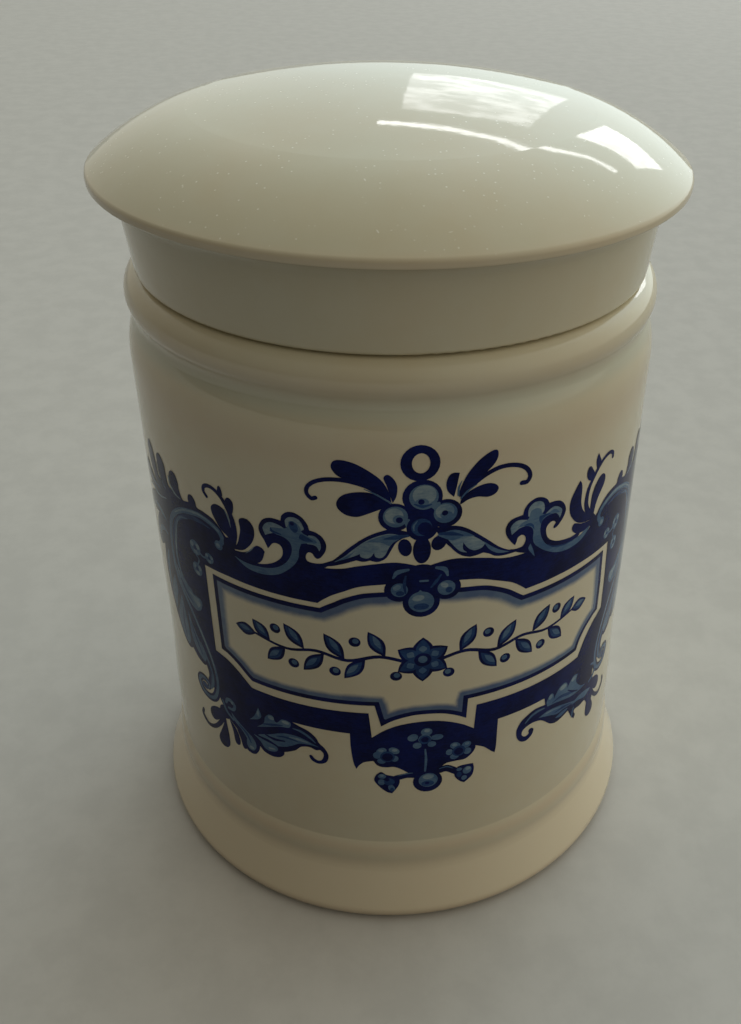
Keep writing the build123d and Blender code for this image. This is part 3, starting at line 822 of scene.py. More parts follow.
def swag():
    """Leaf sprays under the corners of the ground, and the small leaves at their roots."""
    put_pair(
        "dark",
        leaf([(40.6, 40.8), (41.2, 38.0), (42.2, 35.6), (43.0, 33.6), (42.7, 32.3), (41.6, 31.8),
              (40.4, 32.3), (39.7, 33.6), (39.8, 36.0), (40.2, 38.6)]),
        leaf([(40.6, 41.8), (43.5, 41.0), (45.2, 39.6), (45.3, 38.0), (44.3, 37.2), (43.0, 37.8),
              (41.6, 39.6)]),
        stroke(
            [(40.8, 40.4), (42.4, 37.4), (44.4, 35.2), (46.6, 34.4), (48.4, 35.6), (48.2, 37.0)],
            [1.3, 1.0, 0.9, 0.9, 0.8],
        ),
        disc(40.4, 41.6, 1.6),
    )
    put(
        "dark",
        # left
        leaf(
            [(-22.8, 46.9), (-20.9, 46.2), (-19.5, 44.95), (-18.9, 43.75), (-17.8, 42.6), (-17.15, 40.9),
             (-17.7, 39.2), (-19.2, 38.5), (-20.5, 39.0), (-20.95, 40.0), (-20.5, 40.3), (-19.9, 39.6),
             (-19.1, 39.3), (-18.4, 39.8), (-18.1, 41.1), (-18.7, 42.0), (-19.6, 41.8), (-20.9, 42.2),
             (-22.5, 41.7), (-23.7, 40.4), (-25.3, 39.4)],
            [(-26.1, 39.0), (-26.3, 38.1), (-27.2, 37.2), (-28.8, 36.7), (-30.6, 37.0)],
            [(-31.6, 37.9), (-31.9, 36.6), (-32.8, 35.2), (-34.1, 34.9), (-35.2, 35.6), (-36.8, 38.6)],
            [(-39.6, 40.8), (-40, 47), (-30, 49)],
        ),
        leaf([(-39.4, 40.6), (-38.5, 38.0), (-38.1, 35.6), (-37.4, 34.9), (-36.7, 35.6), (-36.8, 37.2),
              (-37.6, 39.0)]),
        leaf([(-37.6, 39.6), (-36.6, 37.4), (-36.0, 35.4), (-35.4, 35.0), (-34.9, 35.8), (-35.2, 38.2)]),
        # right
        leaf(
            [(25.3, 47.6)],
            [(25.7, 45.5), (23.4, 45.9), (21.4, 45.3), (19.8, 44.2), (18.95, 42.5), (19.1, 40.6),
             (20.0, 39.2), (21.4, 38.75), (22.7, 39.6), (23.05, 40.8), (22.4, 41.4), (21.8, 41.0),
             (21.9, 40.3), (21.1, 39.95), (20.3, 40.6), (20.3, 41.6), (21.1, 42.3), (22.6, 42.6),
             (24.2, 42.3), (25.4, 41.6), (26.5, 40.5), (27.6, 39.5), (29.2, 38.9), (31.1, 39.1)],
            [(32.7, 39.5), (33.3, 38.7), (33.8, 37.4)],
            [(35.0, 35.8), (35.4, 36.7), (34.9, 37.6), (35.2, 38.2), (37.0, 37.9), (38.9, 37.8),
             (40.0, 36.2), (41.2, 34.8), (42.4, 37), (41.6, 41), (40, 47), (30, 49)],
        ),
    )
    put(
        "pale",
        # left
        leaf([(-31.4, 47.8), (-32.4, 45.4)], [(-33.7, 43.7), (-31.6, 44.8), (-30.8, 46.0)]),
        leaf(
            [(-32.0, 42.7), (-30.4, 44.4), (-30.0, 46.0), (-29.2, 47.1), (-28.4, 47.3)],
            [(-27.7, 46.8), (-27.5, 45.9), (-26.9, 46.4), (-26.2, 47.2)],
            [(-25.0, 47.3), (-24.4, 46.9), (-24.8, 45.7), (-26.9, 45.1), (-29.4, 43.9)],
        ),
        stroke([(-24.0, 45.8), (-22.4, 45.6), (-20.8, 44.7), (-19.6, 43.6)], [0.2, 0.6, 0.55, 0.2]),
        leaf(
            [(-29.2, 42.1), (-26.9, 43.4), (-25.0, 44.0), (-22.8, 44.05), (-20.9, 43.5)],
            [(-18.9, 42.7), (-20.9, 42.75), (-22.8, 42.4), (-24.4, 41.3), (-25.9, 40.4)],
            [(-27.4, 39.9), (-29.4, 40.6), (-31.9, 40.7)],
        ),
        leaf([(-33.0, 40.3), (-30.4, 40.0), (-28.1, 39.7), (-27.5, 39.1), (-28.0, 38.3), (-29.4, 37.8),
              (-30.6, 38.1), (-31.4, 39.2)]),
        leaf(
            [(-38.6, 42.6), (-38.0, 41.0), (-36.0, 39.6)],
            [(-34.8, 38.2), (-34.9, 36.8), (-34.3, 35.8), (-33.3, 35.8), (-32.6, 36.9), (-32.7, 38.2)],
            [(-33.6, 39.4), (-36.0, 40.8)],
        ),
        stroke([(-40.9, 44.4), (-40.0, 42.2), (-38.2, 40.9)], [0.3, 0.7, 0.5]),
        stroke(
            [(-39.2, 43.4), (-38.0, 43.6), (-37.5, 44.7), (-38.2, 45.6), (-39.4, 45.4), (-39.9, 44.4)],
            [0.6, 0.7, 0.8, 0.9, 0.8, 0.6],
        ),
        # right
        leaf(
            [(26.3, 44.7), (26.0, 45.9), (26.5, 47.0), (27.2, 47.5), (27.8, 46.9)],
            [(28.0, 45.6), (28.6, 46.7), (29.5, 47.7), (30.8, 48.0), (31.7, 47.3)],
            [(31.9, 46.0), (32.8, 47.2), (33.9, 48.0)],
            [(35.1, 47.5), (34.8, 46.2), (35.2, 45.0), (36.7, 43.4)],
            [(38.6, 42.4), (37.0, 42.4), (33.9, 42.7), (31.4, 43.4), (28.9, 44.2)],
        ),
        stroke([(20.9, 43.4), (22.3, 44.5), (23.9, 44.9), (25.6, 44.7)], [0.25, 0.6, 0.6, 0.2]),
        leaf(
            [(24.2, 43.0), (26.1, 43.4), (28.2, 43.2), (30.8, 42.4), (33.4, 41.3)],
            [(35.8, 40.3), (33.6, 40.6), (31.2, 41.0), (29.5, 40.9), (27.6, 41.6), (26.1, 42.3)],
        ),
        leaf([(28.8, 40.2), (30.7, 40.6), (32.5, 40.4), (32.0, 39.9), (30.2, 39.6)]),
        leaf([(33.8, 40.2), (36.0, 39.9), (38.9, 38.9)], [(41.2, 39.6), (38.6, 40.6), (36.0, 40.9)]),
        stroke([(34.3, 36.6), (34.3, 37.8), (34.7, 39.0)], [0.2, 0.55, 0.3]),
        stroke(
            [(40.4, 46.2), (42.0, 45.4), (42.6, 44.0), (42.0, 42.4), (40.2, 41.8)],
            [0.4, 0.7, 0.8, 0.7, 0.4],
        ),
    )
    put(
        "faint",
        leaf([(-31.4, 47.4), (-31.9, 46.0), (-31.3, 45.6)]),
        disc(-28.6, 46.6, 0.7, 0.45), disc(-25.5, 46.7, 0.8, 0.4),
        stroke([(-24.8, 43.3), (-22.6, 43.4), (-20.6, 43.1)], [0.2, 0.6, 0.15]),
        stroke([(-29.4, 38.5), (-28.2, 38.8)], [0.5, 0.3]),
        disc(-33.7, 36.4, 0.55, 0.4), disc(-38.2, 45.2, 0.35), disc(27.0, 46.7, 0.5, 0.6),
        disc(30.5, 47.1, 0.95, 0.6), disc(33.9, 47.1, 0.8, 0.6),
        stroke([(26.0, 43.0), (28.0, 42.8), (30.2, 42.2)], [0.15, 0.5, 0.15]),
    )
    put(
        "mid",
        stroke([(-30.4, 44.2), (-28.4, 44.9), (-26.2, 45.7)], [0.3, 0.6, 0.2]),
        stroke([(-27.6, 42.4), (-25.6, 42.9), (-23.2, 42.8)], [0.2, 0.5, 0.2]),
        stroke([(-36.6, 40.6), (-34.8, 39.4), (-33.8, 37.6)], [0.3, 0.6, 0.3]),
        stroke([(27.6, 44.8), (29.8, 45.0), (32.4, 44.2), (35.2, 43.2)], [0.2, 0.7, 0.8, 0.2]),
        stroke([(28.6, 41.7), (31.0, 41.6), (33.6, 40.9)], [0.2, 0.6, 0.3]),
    )
    put(
        "dark",
        stroke([(-30.2, 41.6), (-28.2, 41.35), (-25.9, 41.8)], [0.3, 0.7, 0.3]),
        stroke([(-31.0, 40.2), (-29.4, 40.35), (-27.9, 40.0)], [0.2, 0.45, 0.2]),
        stroke([(-28.0, 47.2), (-27.6, 46.2)], [0.15, 0.5]),
        stroke([(25.6, 42.3), (27.4, 41.4), (29.2, 40.6)], [0.3, 0.7, 0.3]),
        stroke([(32.2, 45.2), (33.8, 43.9), (35.6, 42.9)], [0.2, 0.5, 0.2]),
        stroke([(33.2, 40.4), (33.3, 39.2), (33.9, 37.8)], [0.3, 0.6, 0.4]),
    )


def base():
    """Florets, buds and a drop on the hanging cloth."""
    # drop under the middle
    put("dark", disc(1.2, 35.5, 2.75))
    put("pale", disc(1.3, 35.75, 1.8, 1.75))
    put("faint", disc(1.3, 36.6, 1.05, 0.6))
    put("mid", disc(1.2, 34.9, 1.2, 0.75))
    put("dark", disc(1.1, 35.0, 0.45, 0.35))
    # bud on the left
    put(
        "dark",
        leaf(
            [(-8.3, 37.6), (-7.4, 38.3), (-6.4, 37.6), (-5.0, 37.2), (-4.0, 36.3), (-4.3, 34.6)],
            [(-5.4, 32.8), (-6.4, 33.2), (-7.8, 34.6), (-8.7, 36.2)],
        ),
        stroke([(-4.6, 36.8), (-2.8, 37.3), (-1.0, 37.4)], [1.3, 1.2, 1.6]),
    )
    put(
        "pale",
        disc(-7.25, 37.2, 0.75, 0.6), disc(-7.35, 35.7, 0.65, 0.75), disc(-5.5, 34.2, 0.6, 0.85, 20),
    )
    put("mid", disc(-5.9, 35.8, 1.0, 0.9), disc(-5.4, 33.8, 0.4, 0.5))
    put("faint", disc(-7.3, 37.4, 0.4, 0.3))
    put("dark", disc(-6.3, 36.3, 0.4))
    # bud on the right
    put(
        "dark",
        leaf(
            [(6.4, 37.6), (7.5, 38.1)],
            [(9.9, 38.0), (10.1, 36.6), (9.7, 34.9)],
            [(8.2, 33.5), (7.2, 34.3), (6.3, 35.8)],
        ),
        stroke([(3.0, 37.9), (4.8, 38.1), (6.6, 36.9)], [1.7, 1.6, 1.5]),
    )
    put("pale", disc(8.75, 36.6, 0.85, 0.95, -20), disc(7.2, 37.2, 0.55, 0.4), disc(8.2, 34.8, 0.55, 0.6))
    put("faint", disc(8.9, 37.0, 0.5, 0.4))
    put("mid", disc(7.2, 35.9, 0.5, 0.7))
    put(
        "pale",
        stroke([(3.4, 38.3), (4.8, 38.5), (6.0, 37.8)], [0.15, 0.3, 0.1]),
        stroke([(-4.4, 37.3), (-2.8, 37.8), (-1.6, 37.9)], [0.1, 0.3, 0.15]),
    )
    # florets on the cloth: petals, ring and eye
    put(
        "pale",
        disc(0.9, 48.0, 1.05, 0.95), disc(-1.6, 46.8, 1.0, 0.85, 30), disc(2.85, 46.4, 1.15, 0.7),
        disc(-0.8, 44.75, 0.8, 0.75), disc(1.9, 44.8, 0.8, 0.7), disc(0.6, 46.2, 1.2),
        disc(-7.3, 43.6, 1.0, 0.75, 30), disc(-5.0, 43.7, 1.05, 0.75, -30), disc(-8.1, 42.5, 0.75, 0.85),
        disc(-7.3, 41.1, 0.8, 0.7), disc(-4.9, 41.7, 0.7, 0.75), disc(6.3, 43.5, 1.0, 0.8, -20),
        disc(8.45, 43.2, 0.95, 0.8, 20), disc(8.7, 41.5, 0.75, 0.8), disc(6.2, 40.8, 0.85, 0.7),
        disc(5.2, 42.1, 0.65, 0.75),
    )
    put(
        "faint",
        disc(1.0, 48.3, 0.55, 0.4), disc(-7.4, 43.7, 0.5, 0.3), disc(-4.9, 43.8, 0.5, 0.3),
        disc(6.2, 43.7, 0.5, 0.35), disc(8.6, 43.4, 0.45, 0.35),
    )
    put("mid", disc(0.6, 46.1, 1.1), disc(-6.2, 42.2, 1.35), disc(7.0, 42.0, 1.3))
    put("dark", disc(0.6, 46.1, 0.7), disc(-6.2, 42.1, 1.0), disc(7.0, 41.9, 0.9))
    put("pale", stroke([(0.7, 43.6), (0.85, 41), (0.7, 38.2)], [0.3, 0.5, 0.4]))


def boss():
    """Lobed flower over the top of the frame."""
    put(
        "dark",
        disc(-0.3, 82.6, 3.2), disc(-3.2, 83.2, 2.6), disc(2.6, 83.2, 2.6), disc(-4.1, 80.7, 2.4),
        disc(3.8, 80.6, 2.4), disc(-0.4, 78.0, 3.1),
    )
    put(
        "pale",
        disc(-4.0, 80.7, 1.4), disc(3.75, 80.6, 1.5), disc(-0.4, 78.1, 2.15),
        leaf([(-1.3, 79.7), (-0.9, 80.2)], [(-0.6, 80.6), (-0.2, 80.2), (0.4, 79.7)]),
        stroke([(-5.0, 83.2), (-4.3, 84.3), (-2.6, 84.8)], [0.35, 0.9, 0.5]),
        stroke([(2.0, 84.9), (3.4, 84.4), (3.9, 83.1)], [0.5, 0.9, 0.35]),
        stroke([(-0.6, 82.4), (0.6, 82.4)], [0.4, 0.4]),
    )
    put(
        "faint",
        disc(-4.4, 81.2, 0.7, 0.5, 30), disc(3.4, 81.2, 0.7, 0.5, -30), disc(-0.9, 78.9, 1.0, 0.6, 10),
    )
    put(
        "mid",
        stroke([(-3.0, 83.5), (-3.2, 81.8), (-3.0, 80.0)], [0.3, 0.6, 0.3]),
        stroke([(2.8, 83.4), (2.0, 82.1), (1.2, 81.0)], [0.25, 0.6, 0.3]),
        disc(-0.4, 77.1, 1.3, 0.7), disc(4.2, 80.1, 0.6, 0.6), disc(-3.9, 80.0, 0.7, 0.5),
    )


def sprig():
    """Herb sprig across the panel: a flower in the middle, and on each side a stem of leaves and berries."""
    stem = [(2.4, 65.0), (7.5, 66.3), (13.0, 65.0), (18.5, 66.2), (24.0, 65.2), (30.6, 66.4)]
    leaves = (
        (6.4, 66.3, 6.2, 62), (9.8, 65.7, 6.2, -52), (13.4, 65.1, 6.4, 56), (17.0, 65.9, 6.2, -50),
        (20.6, 66.0, 6.0, 52), (24.2, 65.3, 5.6, -46), (27.2, 65.8, 5.0, 46), (30.0, 66.3, 4.6, 4),
    )
    for x, y, length, turn in leaves:
        put_pair("dark", petal(x, y, length, 1.35, turn))
        put_pair("mid", petal(x, y, length, 0.85, turn, 0.14))
        put_pair("pale", petal(x, y, length, 0.5, turn + 4, 0.3))
    put_pair("dark", stroke(stem, [0.7, 0.75, 0.7, 0.6, 0.5]))
    for x, y in ((11.6, 69.3), (15.2, 62.2), (22.8, 62.2), (26.0, 69.0), (4.6, 61.9)):
        put_pair("dark", disc(x, y, 1.05))
        put_pair("pale", disc(x - 0.15, y + 0.2, 0.55))
    turns = range(30, 390, 60)
    put("dark", *(petal(0, 65.4, 5.0, 1.75, turn) for turn in turns))
    for turn in turns:
        put("mid", petal(0, 65.4, 4.6, 1.2, turn))
        put("pale", petal(0, 65.4, 4.2, 0.7, turn, 0.4))
    put("dark", disc(0, 65.4, 1.5))
    put("pale", disc(0, 65.5, 0.8))


def petal(x, y, length, half, turn, start=0.0):
    """Pointed leaf from its root at (x, y), turned by degrees. It may start a share of the way along."""
    c, s = math.cos(math.radians(turn)), math.sin(math.radians(turn))
    run = 1 - 1.6 * start

    def at(along, across):
        along = length * (start + run * along)
        return x + along * c - across * s, y + along * s + across * c

    root, tip = at(0, 0), at(1, 0)
    left = curve([root, at(0.3, 0.8 * half), at(0.55, half), at(0.8, 0.6 * half), tip])
    right = curve([tip, at(0.8, -0.6 * half), at(0.55, -half), at(0.3, -0.8 * half), root])
    return left[:-1] + right[:-1]


def cartouche():
    """The whole drawing, from the ground up."""
    figures.clear()
    ground()
    cloth()
    scroll()
    crown()
    trefoil()
    palmette()
    swag()
    base()
    line = line_outline()
    put("bare", frame_outline())
    put("dark", line)
    put("panel", *(inset(line, LINE_WIDTH + depth) for depth in WASH_RINGS))
    sprig()
    boss()
    return figures


# ---------------------------------------------------------------- painted layers


def covers(outline, points):
    """Which of the points lie inside the closed outline, counting its turns round each."""
    turns = np.zeros(len(points), int)
    x, y = points[:, 0], points[:, 1]
    for (x0, y0), (x1, y1) in zip(outline, outline[1:] + outline[:1]):
        side = (x1 - x0) * (y - y0) - (x - x0) * (y1 - y0)
        turns += (y0 <= y) & (y1 > y) & (side > 0)
        turns -= (y0 > y) & (y1 <= y) & (side < 0)
    return turns != 0


def closeness(outline, points):
    """Distance from each point to the closed outline."""
    nearest = np.full(len(points), np.inf)
    for start, end in zip(outline, outline[1:] + outline[:1]):
        start = np.array(start)
        run = np.array(end) - start
        length = run @ run
        if length == 0:
            continue
        share = np.clip((points - start) @ run / length, 0, 1)
        nearest = np.minimum(nearest, np.linalg.norm(points - start - share[:, None] * run, axis=1))
    return nearest


def partition(layers, step):
    """Cuts the flat drawing into triangles and says which paint is on top in each.

    Upright lines a step apart are cut in as well, so that the triangles bend with the wall.
    """
    points, edges = [], []
    for _, outline in layers:
        first = len(points)
        count = len(outline)
        points += [Vector(p) for p in outline]
        edges += [(first + i, first + (i + 1) % count) for i in range(count)]
    flat = np.array([tuple(p) for p in points])
    low, high = flat.min(0) - 1, flat.max(0) + 1
    for k in range(math.ceil(low[0] / step), math.floor(high[0] / step) + 1):
        first = len(points)
        points += [Vector((k * step, low[1])), Vector((k * step, high[1]))]
        edges.append((first, first + 1))
    vertices, _, triangles, *_ = delaunay_2d_cdt(points, edges, [], 0, 1e-4, False)
    flat = np.array([tuple(v) for v in vertices])
    triangles = np.array(triangles)
    middles = flat[triangles].mean(1)
    paint = np.full(len(triangles), -1)
    for number, (_, outline) in enumerate(layers):
        box_low, box_high = np.min(outline, 0), np.max(outline, 0)
        near = np.where(((middles >= box_low) & (middles <= box_high)).all(1))[0]
        paint[near[covers(outline, middles[near])]] = number
    return flat, triangles, paint


def wrapped(name, flat, triangles, lift):
    """A thin layer of paint round the wall, from triangles of the flat drawing, and its points there."""
    used, faces = np.unique(triangles, return_inverse=True)
    faces = faces.reshape(triangles.shape)
    flat = flat[used]
    angle = flat[:, 0] * MM / WALL
    height = flat[:, 1] * MM
    radius = np.interp(height, *WALL_LINE) + lift
    slope = (np.interp(height + MM, *WALL_LINE) - np.interp(height - MM, *WALL_LINE)) / (2 * MM)
    places = np.stack([radius * np.sin(angle), -radius * np.cos(angle), height], 1)
    outward = np.stack([np.sin(angle), -np.cos(angle), -slope], 1)
    outward /= np.linalg.norm(outward, axis=1)[:, None]
    a, b, c = (flat[faces[:, k]] for k in range(3))
    area = (b - a)[:, 0] * (c - a)[:, 1] - (b - a)[:, 1] * (c - a)[:, 0]
    faces[area < 0] = faces[area < 0][:, ::-1]
    mesh = bpy.data.meshes.new(name)
    mesh.from_pydata(places.tolist(), [], faces.tolist())
    mesh.normals_split_custom_set_from_vertices(outward.tolist())
    piece = bpy.data.objects.new(name, mesh)
    bpy.context.collection.objects.link(piece)
    return piece, flat


# ---------------------------------------------------------------- finishes


def glaze(finish, colour, settings):
    """Colour, roughness and surface of the cream glaze, shared by both pieces and the painted layers."""
    place = finish.place()
    drift = finish.noise(place, 0.03, 3)
    cloud = finish.noise(place, 0.006, 4, 0.6)
    tone = finish.mix(finish.ramp(drift, 0.35, 0.65, 0, 0.5), colour, settings.glaze_warm)
    tone = finish.mix(finish.ramp(cloud, 0.3, 0.7, 0, 0.16), tone, settings.glaze_cool)
    iron = finish.specks(place, 0.011, settings.speck_radius, 0.16)
    tone = finish.mix(iron * 0.75, tone, settings.speck_colour)
    roughness = finish.ramp(cloud, 0.2, 0.8, settings.gloss_rough - 0.01, settings.gloss_rough + 0.02)
    swell = finish.noise(place, 0.011, 1)
    peel = finish.noise(place, 0.0011, 2)
    relief = swell * 0.6 + peel * 0.12
    return place, tone, roughness, finish.bump(relief, settings.glaze_relief)


def band(finish, value, middle, half):
    """1 where the value is at the middle, falling softly to 0 half away on both sides."""
    return finish.ramp(abs(value - middle), 0, half, 1, 0)


def jar_glaze(settings):
    """Cream glaze on the jar: thick and paler on the foot, where the paleness is also painted light on its
    upturned face; pooled in the groove; thin on the ridge, shoulder and lip, where pink bands also paint the
    glaze's reflections.

    The ring that the jar stands on is bare clay.
    """
    finish = Finish(bpy.data.materials.new("jar_glaze"))
    place, tone, roughness, relief = glaze(finish, settings.glaze_jar, settings)
    height = finish.part(place, 2)
    # Paler foot: thicker glaze, and painted light where the foot's face tilts up towards the light.
    foot = finish.ramp(height, FOOT_HEIGHT, FOOT_HEIGHT - 0.005, 0, 0.8)
    tone = finish.mix(foot, tone, settings.glaze_foot_and_painted_light)
    thin = finish.ramp(height, 0.0006, 0.004, 0.6, 0)
    # Pink bands on the ridge, shoulder and lip: thin glaze, and painted pink reflection.
    for middle, half, share in (
        (RIDGE_HEIGHT, 0.0024, 0.4),
        (LIP_HEIGHT, 0.003, 0.2),
        (SHOULDER_HEIGHT, 0.0065, 0.3),
    ):
        thin = thin + band(finish, height, middle, half) * share
    tone = finish.mix(thin, tone, settings.glaze_thin_and_reflection)
    tone = finish.mix(band(finish, height, GROOVE_HEIGHT, 0.0028) * 0.4, tone, settings.glaze_pool)
    clay = finish.ramp(height, 0.00025, 0.0006, 1, 0)
    tooth = finish.noise(place, 0.0006, 3, 0.7)
    clay_tone = finish.mix(finish.ramp(tooth, 0.35, 0.7), settings.clay, settings.glaze_thin_and_reflection)
    tone = finish.mix(clay, tone, clay_tone)
    return finish.surface(
        Base_Color=tone,
        Roughness=roughness + clay * 0.6,
        Normal=finish.bump(tooth * clay, 0.00006, relief),
        IOR=1.5,
    )


def lid_glaze(settings):
    """The same glaze on the lid, a little greener, thin at the rim with a painted warm reflection there, and
    with the dust and hairline marks of a thing in use.
    """
    finish = Finish(bpy.data.materials.new("lid_glaze"))
    place, tone, roughness, relief = glaze(finish, settings.glaze_lid, settings)
    height = finish.part(place, 2)
    upward = finish.ramp(finish.part(finish.node("ShaderNodeNewGeometry", output="Normal"), 2), 0.5, 0.9)
    # Warm band at the rim: thin glaze, and painted reflection.
    rim_thin_and_reflection = band(finish, height, RIM_HEIGHT, 0.0018)
    tone = finish.mix(rim_thin_and_reflection * 0.35, tone, settings.glaze_thin_and_reflection)
    patches = finish.ramp(finish.noise(place, 0.02, 2), 0.3, 0.6)
    dust = finish.specks(place, 0.0013, 0.00021, 0.7) * patches * upward
    hairs = 0
    curl = finish.noise(place, 0.004, 1) * 0.0022
    for turn in (0.5, -0.9, 1.7):
        along = finish.stretched(place, (14, 1, 1), (0, 0, turn))
        along = finish.node("ShaderNodeVectorMath", {"operation": "ADD"}, {0: along, 1: curl})
        hairs = hairs + finish.specks(along, 0.003, 0.00014, 0.8)
    marks = (dust * 0.7 + hairs * upward * 0.7) * settings.wear
    tone = finish.mix(marks, tone, settings.dust)
    return finish.surface(
        Base_Color=tone,
        Roughness=roughness + marks * 0.5,
        Normal=relief,
        IOR=1.5,
    )


def cobalt(name, deep, thin, settings):
    """Cobalt under the glaze, laid on wet: cloudy, streaked by the brush and a little broken."""
    finish = Finish(bpy.data.materials.new(name))
    place, _, roughness, relief = glaze(finish, deep, settings)
    pool = finish.noise(place, 0.005, 3, 0.55)
    streak = finish.noise(finish.stretched(place, (1, 1, 0.18)), 0.0016, 3, 0.6)
    grain = finish.noise(place, 0.0004, 2, 0.7)
    load = pool * 0.55 + streak * 0.3 + grain * 0.15
    tone = finish.mix(finish.ramp(load, 0.36, 0.66), deep, thin)
    return finish.surface(
        Base_Color=tone, Roughness=roughness, Normal=relief, IOR=1.5, Specular_IOR_Level=0.08
    )


def panel_wash(settings):
    """The panel's ground: glaze left bare in the middle, with a blue wash that fades in from the frame."""
    finish = Finish(bpy.data.materials.new("panel_cream"))
    place, tone, roughness, relief = glaze(finish, settings.glaze_jar, settings)
    inward = finish.node("ShaderNodeAttribute", {"attribute_name": "inward"}, output="Fac")
    pool = finish.noise(place, 0.004, 3, 0.6)
    blur = inward + (pool - 0.5) * 0.35
    wash = finish.ramp(blur, 0.35, 1.05, 1, 0)
    blue = finish.mix(finish.ramp(pool, 0.35, 0.65), settings.cobalt_mid_thin, settings.cobalt_pale)
    tone = finish.mix(wash * 0.96, tone, blue)
    return finish.surface(Base_Color=tone, Roughness=roughness, Normal=relief, IOR=1.5)


# ---------------------------------------------------------------- settings


def colour_property(name, description, default):
    return bpy.props.FloatVectorProperty(
        name=name, description=description, default=default, subtype="COLOR", size=3, min=0, max=1
    )


def length_property(name, description, default):
    return bpy.props.FloatProperty(
        name=name, description=description, default=default, unit="LENGTH", min=0, precision=5
    )


class GlazeSettings(bpy.types.PropertyGroup):
    """Colours and surface of the glaze and of the cobalt under it."""

    glaze_jar: colour_property("Jar glaze", "Cream of the jar", srgb(226, 217, 191))
    glaze_lid: colour_property("Lid glaze", "Cream of the lid, a little greener", srgb(220, 213, 187))
    glaze_warm: colour_property("Warm drift", "Where the glaze drifts warmer", srgb(223, 208, 178))
    glaze_cool: colour_property("Cool drift", "Where the glaze clouds over", srgb(229, 226, 208))
    # Also the colour of the painted pink reflections on the ridge, shoulder, lip and lid rim.
    glaze_thin_and_reflection: colour_property("Thin glaze", "Where the body shows through at an edge", srgb(224, 198, 168))
    # Its paleness also paints light on the foot's upturned face.
    glaze_foot_and_painted_light: colour_property("Foot glaze", "Thick and pale on the foot", srgb(238, 222, 194))
    glaze_pool: colour_property("Pooled glaze", "Where it gathers under the lip", srgb(196, 206, 196))
    clay: colour_property("Clay", "Bare fired clay under the foot", srgb(214, 200, 178))
    speck_colour: colour_property("Iron speck", "Small specks that fire brown", srgb(128, 96, 66))
    dust: colour_property("Dust", "Dust and hairline marks on the lid", srgb(254, 250, 238))
    cobalt_deep: colour_property("Cobalt, full", "Outlines and ground", srgb(4, 12, 62))
    cobalt_deep_thin: colour_property("Cobalt, full but thin", "Where they thin", srgb(10, 27, 98))
    cobalt_mid: colour_property("Cobalt, shaded", "Middle wash", srgb(26, 52, 104))
    cobalt_mid_thin: colour_property("Cobalt, shaded but thin", "Where it thins", srgb(48, 82, 134))
    cobalt_pale: colour_property("Cobalt, pale", "Pale wash", srgb(66, 98, 140))
    cobalt_pale_thin: colour_property("Cobalt, pale but thin", "Where it thins", srgb(100, 128, 157))
    cobalt_faint: colour_property("Cobalt, faint", "Lightest strokes and highlights", srgb(152, 170, 180))
    gloss_rough: bpy.props.FloatProperty(
        name="Roughness",
        description="Roughness of the glaze",
        default=0.04,
        min=0.02,
        max=1,
        subtype="FACTOR",
    )
    wear: bpy.props.FloatProperty(
        name="Wear",
        description="How much dust and how many marks",
        default=1.0,
        min=0,
        max=1,
        subtype="FACTOR",
    )
    glaze_relief: length_property("Glaze relief", "Height of the glaze's slow waves", 0.00004)
    speck_radius: length_property("Speck radius", "Radius of an iron speck", 0.00022)


class PaintSettings(bpy.types.PropertyGroup):
    """Sizes of the painted layers."""

    lift: length_property("Lift", "How far the layers stand clear of the wall", 0.00004)
    bend_step: length_property("Bend step", "Longest run of a flat triangle round the wall", 0.0012)
    wash_width: length_property("Wash width", "How far the blue wash reaches into the panel", 0.0025)


class StudioSettings(bpy.types.PropertyGroup):
    """The floor, the lamps and the camera."""

    floor_size: length_property("Floor size", "Side of the square floor", 8.0)
    floor_colour: colour_property("Floor colour", "Plain pale floor", srgb(202, 199, 195))
    floor_bounce: colour_property("Floor bounce", "Colour of the light it throws back", srgb(124, 121, 120))
    window_power: bpy.props.FloatProperty(
        name="Window power", description="Light of the windows, per unit of area", default=6.6, min=0
    )
    daylight: bpy.props.FloatProperty(
        name="Daylight", description="Soft light round the windows", default=1.08, min=0
    )
    daylight_tone: colour_property("Daylight tone", "Cool", (0.53, 0.82, 1.0))
    wall_light: bpy.props.FloatProperty(
        name="Wall light", description="Soft light from above, behind and the right", default=0.86, min=0
    )
    wall_tone: colour_property("Wall tone", "Warm", (1.0, 0.94, 0.76))
    camera_distance: length_property("Camera distance", "From the jar's axis, along the floor", 0.18399)
    camera_height: length_property("Camera height", "Above the floor", 0.18758)
    camera_swing: bpy.props.FloatProperty(
        name="Camera swing",
        description="Round the jar, from the front",
        default=math.radians(-5.72),
        subtype="ANGLE",
    )
    lens: bpy.props.FloatProperty(name="Lens", description="Focal length", default=37.31, unit="CAMERA")


# ---------------------------------------------------------------- operators


class JAR_OT_glaze_jar(bpy.types.Operator):
    """Glazes the jar, down to the bare ring that it stands on"""

    bl_idname = "jar.glaze_jar"
    bl_label = "Glaze the jar"

    def execute(self, context):
        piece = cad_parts["jar_body"]
        piece.data.materials.clear()
        piece.data.materials.append(jar_glaze(context.scene.jar_glaze))
        return {"FINISHED"}


class JAR_OT_glaze_lid(bpy.types.Operator):
    """Glazes the lid, and leaves the dust and hairline marks of use on it"""

    bl_idname = "jar.glaze_lid"
    bl_label = "Glaze the lid"

    def execute(self, context):
        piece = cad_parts["lid"]
        piece.data.materials.clear()
        piece.data.materials.append(lid_glaze(context.scene.jar_glaze))
        return {"FINISHED"}


